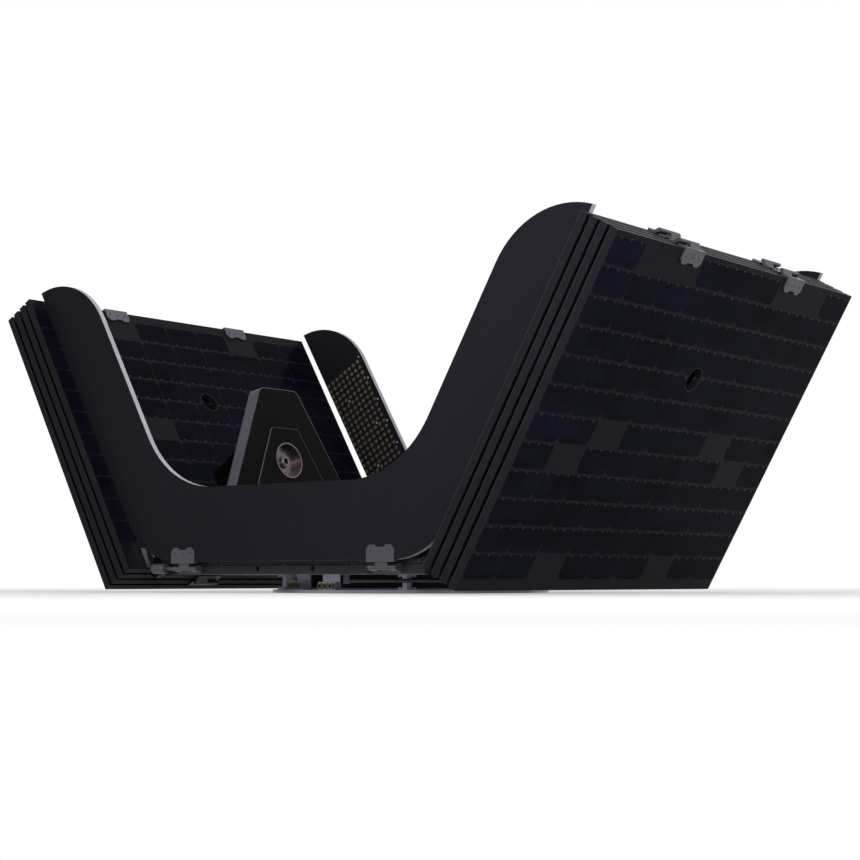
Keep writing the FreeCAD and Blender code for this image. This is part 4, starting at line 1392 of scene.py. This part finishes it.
class SATELLITE_OT_pylon_details(bpy.types.Operator):
    """Pale chamfers, a painted edge highlight, and screws round each pylon's face, and the bore,
    with a dark disc of painted shade, and bolts of its hub
    """
    bl_idname = "satellite.pylon_details"
    bl_label = "Pylon Details"

    hub_bolts = 6
    hub_bolt = 0.8                      # radius of a bolt's head, of a medium screw's
    bore = (0.45, 0.44)                 # radius of the boss's bore and of its floor, of its own
    bore_floor = 0.2 * MM               # level of the floor
    bore_rim = (0.8, 1.2 * MM)          # radius, of the boss's, and height of the rim round it
    plate_chamfer = 1.4 * MM            # width of the chamfer round the plate
    pad_chamfer = 0.7 * MM              # and round the pad on it
    chamfer_rise = 0.28                 # of its width
    plate_screw = 0.75                  # radius of a screw's head, of a medium screw's
    side_screws = 8                     # up one slanted side
    side_ends = (0.3, 0.5)              # from its lower and upper end, of the screws' spacing
    top_screws = (-0.5, 0.0, 0.5)       # along the top, of half its width
    top_zone = 40.0 * MM                # the plate's upper corners lie this near its top

    def execute(self, context):
        sizes = context.scene.satellite_fasteners
        for side in SIDES:
            pile = Pile("black", "socket", "hub", "bracket")
            place = pylon_place(side)
            self.hub(pile, node_points(side + "_pylon_hub"), place, sizes)
            self.edge(pile, node_points(side + "_pylon"), place, sizes)
            pile.piece(side + "_pylon_details", "bus")
        return {"FINISHED"}

    def hub(self, pile, points, place, sizes):
        """Bolts on the cup's floor, and a socket in its boss whose depth is a dark disc of painted
        shade.
        """
        radii = {}
        for point in points:
            offset = point - place.origin
            out = offset.dot(place.out)
            radii.setdefault(round(out, 4), []).append((offset - place.out * out).length)
        floor, boss, rim = sorted(radii)[-3:]
        boss_radius = max(radii[boss])
        face = place.moved(0, 0, boss)
        (bore, bore_floor), (rim_size, rim_rise) = self.bore, self.bore_rim
        pile.washer(boss_radius * bore, boss_radius * rim_size, rim_rise, face, sides=32,
                    finish="hub")
        # Painted shade: a near-black disc stands in for the shaded depth of the bore.
        pile.disc(boss_radius * bore_floor, self.bore_floor, face, sides=24, finish="socket")
        middle = (boss_radius + min(radii[rim])) / 2
        for index in range(self.hub_bolts):
            turn = 2 * math.pi * (index + 0.5) / self.hub_bolts
            spot = place.moved(middle * math.cos(turn), middle * math.sin(turn), floor)
            pile.screw(spot, sizes.medium * self.hub_bolt, "hub")

    def edge(self, pile, points, place, sizes):
        """Chamfers round the pad and the plate, pale as a painted edge highlight; screws inside the
        plate's slanted sides and top.
        """
        plate, pad = levels(points, place.out, 4)[-2:]
        self.highlight_chamfer(pile, points, place, pad, self.pad_chamfer)
        place = place.moved(0, 0, plate - pad)
        flat = self.highlight_chamfer(pile, points, place, plate, self.plate_chamfer)
        low, high = min(up for _, up in flat), max(up for _, up in flat)
        half_low = max(across for across, up in flat if up < low + MM)
        half_high, corner = max((across, up) for across, up in flat
                                if across > 0 and up > high - self.top_zone)
        radius = sizes.medium * self.plate_screw
        first, beyond = self.side_ends
        spaces = self.side_screws - 1 + first + beyond
        for index in range(self.side_screws):
            share = (index + first) / spaces
            up = low + share * (corner - low)
            half = half_low + share * (half_high - half_low) - sizes.edge
            for way in (-1, 1):
                pile.screw(place.moved(way * half, up), radius)
        for share in self.top_screws:
            pile.screw(place.moved(share * half_high, high - sizes.edge), radius)

    def highlight_chamfer(self, pile, points, place, level, wide):
        """A chamfer round the flat face at a level, in a pale finish that paints the edge's
        highlight; gives the face's corners.
        """
        flat = [(place.across.dot(point - place.origin), place.up.dot(point - place.origin))
                for point in points if abs(point.dot(place.out) - level) < 0.05 * MM]
        outline = [flat[index] for index in convex_hull_2d(flat)]
        # Painted highlight: the strip takes the pale bracket finish, so that it shows as a light
        # line round the face.
        pile.chamfer(outline, place, wide, wide * self.chamfer_rise, "bracket")
        return flat


class SATELLITE_OT_avionics_details(bpy.types.Operator):
    """Lid screws and a row of connectors at each end of the electronics housing"""
    bl_idname = "satellite.avionics_details"
    bl_label = "Avionics Details"

    lid_screws = 8                      # along one side of the lid
    lid_screw = 0.8                     # radius of a screw's head, of a medium screw's
    lid_lip = 4.0 * MM                  # how far the lid stands out past the housing
    connectors_in_row = 5
    connector_pitch = 0.17              # of the housing's width
    connector_level = 0.42              # of the housing's height
    flange = (38.0 * MM, 12.0 * MM, 2.0 * MM)       # width, height and corner radius
    flange_rise, flange_bevel = 1.5 * MM, 0.3 * MM
    shell = (24.0 * MM, 8.0 * MM, 3.0 * MM)
    shell_rise, shell_bevel = 3.4 * MM, 0.4 * MM
    screw_spot = 15.5 * MM              # from a connector's middle
    pins = (8, 2)                       # columns and rows of pins
    pin_pitch = (2.6 * MM, 3.0 * MM)
    pin = (0.5 * MM, 0.25 * MM)         # radius and height

    def execute(self, context):
        sizes = context.scene.satellite_fasteners
        low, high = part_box("avionics_module")
        pile = Pile("pale", "socket", "gold", "tab")
        shares = [(index + 0.5) / self.lid_screws for index in range(self.lid_screws)]
        for x, y in rim_spots(low, high, sizes.edge, 0.0, shares, shares):
            pile.screw(upward((x, y, high.z)), sizes.medium * self.lid_screw)
        for facing in (-1, 1):
            self.connectors(pile, low, high, facing, sizes)
        pile.piece("avionics_details", "bus")
        return {"FINISHED"}

    def connectors(self, pile, low, high, facing, sizes):
        """A row of flanged plugs with pin rows on one end of the housing."""
        level = low.y + self.lid_lip if facing < 0 else high.y - self.lid_lip
        place = end_place((low.x + high.x) / 2, level,
                          low.z + (high.z - low.z) * self.connector_level, facing)
        for across in spread(self.connectors_in_row, (high.x - low.x) * self.connector_pitch):
            spot = place.moved(across, 0)
            pile.slab(oblong(*self.flange), spot, self.flange_rise, "tab", self.flange_bevel)
            pile.slab(oblong(*self.shell), spot, self.shell_rise, "gold", self.shell_bevel,
                      self.flange_rise)
            for way in (-1, 1):
                pile.screw(spot.moved(way * self.screw_spot, 0, self.flange_rise), sizes.small)
            front = spot.moved(0, 0, self.flange_rise + self.shell_rise)
            for x in spread(self.pins[0], self.pin_pitch[0]):
                for y in spread(self.pins[1], self.pin_pitch[1]):
                    pile.disc(*self.pin, front.moved(x, y), sides=8, finish="socket")


FRAME_FINISHES = (      # how the names of some nodes end, and their finish; the first match counts
    (("deck", "belly_cover"), "deck"),
    (("_rail",), "rail"),
    (("_antenna",), "plate"),
    (("_rail_hinges", "_antenna_hinges"), "bracket_x"),
    (("_hinges", "feed_tube"), "bracket"),
    (("separation_ring",), "ring"),
    (("ring_posts", "ring_connectors"), "pale"),
    (("_pylon", "_root_brackets"), "pylon"),
    (("_pylon_hub",), "hub"),
    (("belly_box", "switch_boxes", "avionics_module", "_root_actuators"), "black"),
    (tuple(f"_panel_{number}" for number in PANELS), "panel"),
)


class SATELLITE_OT_frame_finish(bpy.types.Operator):
    """Gives every packed part its material"""
    bl_idname = "satellite.frame_finish"
    bl_label = "Finish Frame"

    def execute(self, context):
        made = finishes()
        for node, obj in frame["nodes"].items():
            obj.data.materials.clear()
            obj.data.materials.append(made[self.choose(node)])
        return {"FINISHED"}

    def choose(self, node):
        """The finish of the first row whose endings fit the node's name."""
        for endings, finish in FRAME_FINISHES:
            if node.endswith(endings):
                return finish
        raise RuntimeError("no finish is set for " + node)


class SATELLITE_OT_stage(bpy.types.Operator):
    """Floor, even room light, four soft lights and the camera at floor level"""
    bl_idname = "satellite.stage"
    bl_label = "Stage"

    floor_colour = (0.78, 0.78, 0.78)
    room_colour = (0.97, 0.98, 1.0)
    floor_size, floor_steps = 14.0, 24
    white_zone = (0.5, 2.2)             # metres from the middle where the floor turns white
    white_share = (0.45, 1.0)           # how white it shows before that, and beyond
    sensor = 36.0                       # width of the camera's sensor, millimetres

    def execute(self, context):
        settings = context.scene.satellite_stage
        context.scene.view_settings.view_transform = "Standard"
        self.floor()
        self.room(context.scene, settings.room)
        middle = Z * settings.aim_height
        lights = (      # name, place, size, watts, colour
            ("top", (0.3, 0.2, 2.6), 2.4, settings.top, WHITE),
            ("key", (1.1, -1.35, 0.75), 0.7, settings.key, (1.0, 0.99, 0.97)),
            ("fill", (2.6, -0.9, 0.4), 1.0, settings.fill, (0.95, 0.97, 1.0)),
            ("back", (-1.5, 1.9, 0.8), 1.0, settings.back, (0.98, 0.99, 1.0)),
        )
        for name, place, size, watts, tint in lights:
            self.light(name, Vector(place), middle, size, watts, tint)
        self.camera(context.scene, settings)
        return {"FINISHED"}

    def floor(self):
        """A wide plain floor at the height that the satellite stands on."""
        steps = self.floor_steps
        marks = [(index / steps - 0.5) * self.floor_size for index in range(steps + 1)]
        points = [(x, y, 0.0) for x in marks for y in marks]
        corners = [i * (steps + 1) + j for i in range(steps) for j in range(steps)]
        mesh = bpy.data.meshes.new("floor")
        mesh.from_pydata(points, [], [(corner, corner + steps + 1, corner + steps + 2, corner + 1)
                                      for corner in corners])
        mesh.materials.append(self.floor_material())
        obj = linked("floor", mesh)

    def floor_material(self):
        """Matt pale grey that takes the shadow, and shows white further off."""
        material = bpy.data.materials.new("Satellite floor")
        material.use_nodes = True
        tree = material.node_tree
        tree.nodes.remove(tree.nodes["Principled BSDF"])
        wiring = Wiring(tree)
        away = wiring.vector("LENGTH", wiring.object_place())["Value"]
        share = wiring.math("MULTIPLY", wiring.ramp(away, *self.white_zone, *self.white_share),
                            self.seen(wiring))
        matt = wiring.node("ShaderNodeBsdfDiffuse", {"Color": self.floor_colour}).outputs[0]
        white = wiring.node("ShaderNodeEmission", {"Color": WHITE, "Strength": 1.0}).outputs[0]
        mixed = wiring.node("ShaderNodeMixShader", {0: share, 1: matt, 2: white}).outputs[0]
        wiring.feed(tree.nodes["Material Output"].inputs["Surface"], mixed)
        return material

    def seen(self, wiring):
        """1 where a camera, mirror or glass sees the surface, and 0 for the light it gives."""
        rays = wiring.node("ShaderNodeLightPath").outputs
        seen = wiring.math("MAXIMUM", rays["Is Camera Ray"], rays["Is Glossy Ray"])
        return wiring.math("MAXIMUM", seen, rays["Is Transmission Ray"])

    def room(self, scene, strength):
        """Even light from all round; the room itself shows white."""
        world = bpy.data.worlds.new("Satellite room")
        world.use_nodes = True
        tree = world.node_tree
        wiring = Wiring(tree)
        lit = tree.nodes["Background"]
        wiring.feed(lit.inputs["Color"], self.room_colour)
        wiring.feed(lit.inputs["Strength"], strength)
        white = wiring.node("ShaderNodeBackground", {"Color": WHITE, "Strength": 1.0}).outputs[0]
        mixed = wiring.node("ShaderNodeMixShader", {0: self.seen(wiring), 1: lit.outputs[0],
                                                    2: white}).outputs[0]
        wiring.feed(tree.nodes["World Output"].inputs["Surface"], mixed)
        scene.world = world

    def light(self, name, place, aim, size, watts, tint):
        """A round soft light, aimed at a point."""
        data = bpy.data.lights.new("light " + name, "AREA")
        data.shape = "DISK"
        data.size = size
        data.energy = watts
        data.color = tint
        self.point(linked("light " + name, data), place, aim)

    def camera(self, scene, settings):
        """A camera at floor level, turned to the satellite's middle."""
        data = bpy.data.cameras.new("camera")
        data.lens = settings.lens
        data.sensor_width = self.sensor
        ahead = Vector((-math.sin(settings.azimuth), math.cos(settings.azimuth), 0))
        right = Vector((math.cos(settings.azimuth), math.sin(settings.azimuth), 0))
        low, high = CAD_BOX
        middle = Vector(((low[0] + high[0]) / 2, (low[1] + high[1]) / 2, 0))
        middle += right * settings.aside
        place = middle - ahead * settings.distance + Z * settings.camera_height
        scene.camera = linked("camera", data)
        self.point(scene.camera, place, middle + Z * settings.aim_height)

    def point(self, obj, place, aim):
        """Puts a light or camera in its place and turns it to what it looks at."""
        obj.location = place
        obj.rotation_euler = (aim - obj.location).to_track_quat("-Z", "Y").to_euler()


class SATELLITE_PT_pieces(bpy.types.Panel):
    """Lists the pieces and their settings"""
    bl_idname = "SATELLITE_PT_pieces"
    bl_label = "Satellite"
    bl_space_type = "VIEW_3D"
    bl_region_type = "UI"
    bl_category = "Satellite"

    def draw(self, context):
        layout = self.layout
        for name, group in SETTINGS.items():
            box = layout.box()
            box.label(text=group.__doc__)
            settings = getattr(context.scene, name)
            for field in group.__annotations__:
                box.prop(settings, field)
        for operator in OPERATORS:
            layout.operator(operator.bl_idname)


SETTINGS = {
    "satellite_cells": SatelliteCellSettings,
    "satellite_antenna": SatelliteAntennaSettings,
    "satellite_fasteners": SatelliteFastenerSettings,
    "satellite_colours": SatelliteColours,
    "satellite_stage": SatelliteStageSettings,
}
OPERATORS = (
    SATELLITE_OT_frame_finish,
    SATELLITE_OT_cells,
    SATELLITE_OT_wiring,
    SATELLITE_OT_patches,
    SATELLITE_OT_panel_fasteners,
    SATELLITE_OT_antenna_fasteners,
    SATELLITE_OT_rail_details,
    SATELLITE_OT_ring_details,
    SATELLITE_OT_belly_details,
    SATELLITE_OT_pylon_details,
    SATELLITE_OT_avionics_details,
    SATELLITE_OT_stage,
)
CLASSES = (*SETTINGS.values(), *OPERATORS, SATELLITE_PT_pieces)


def register():
    for made in CLASSES:
        bpy.utils.register_class(made)
    for name, group in SETTINGS.items():
        setattr(bpy.types.Scene, name, PointerProperty(type=group))


def unregister():
    for name in SETTINGS:
        delattr(bpy.types.Scene, name)
    for made in reversed(CLASSES):
        bpy.utils.unregister_class(made)


def main():
    """Makes every piece and the stage."""
    register()
    for operator in OPERATORS:
        group, name = operator.bl_idname.split(".")
        getattr(getattr(bpy.ops, group), name)()


if __name__ == "__main__":
    main()
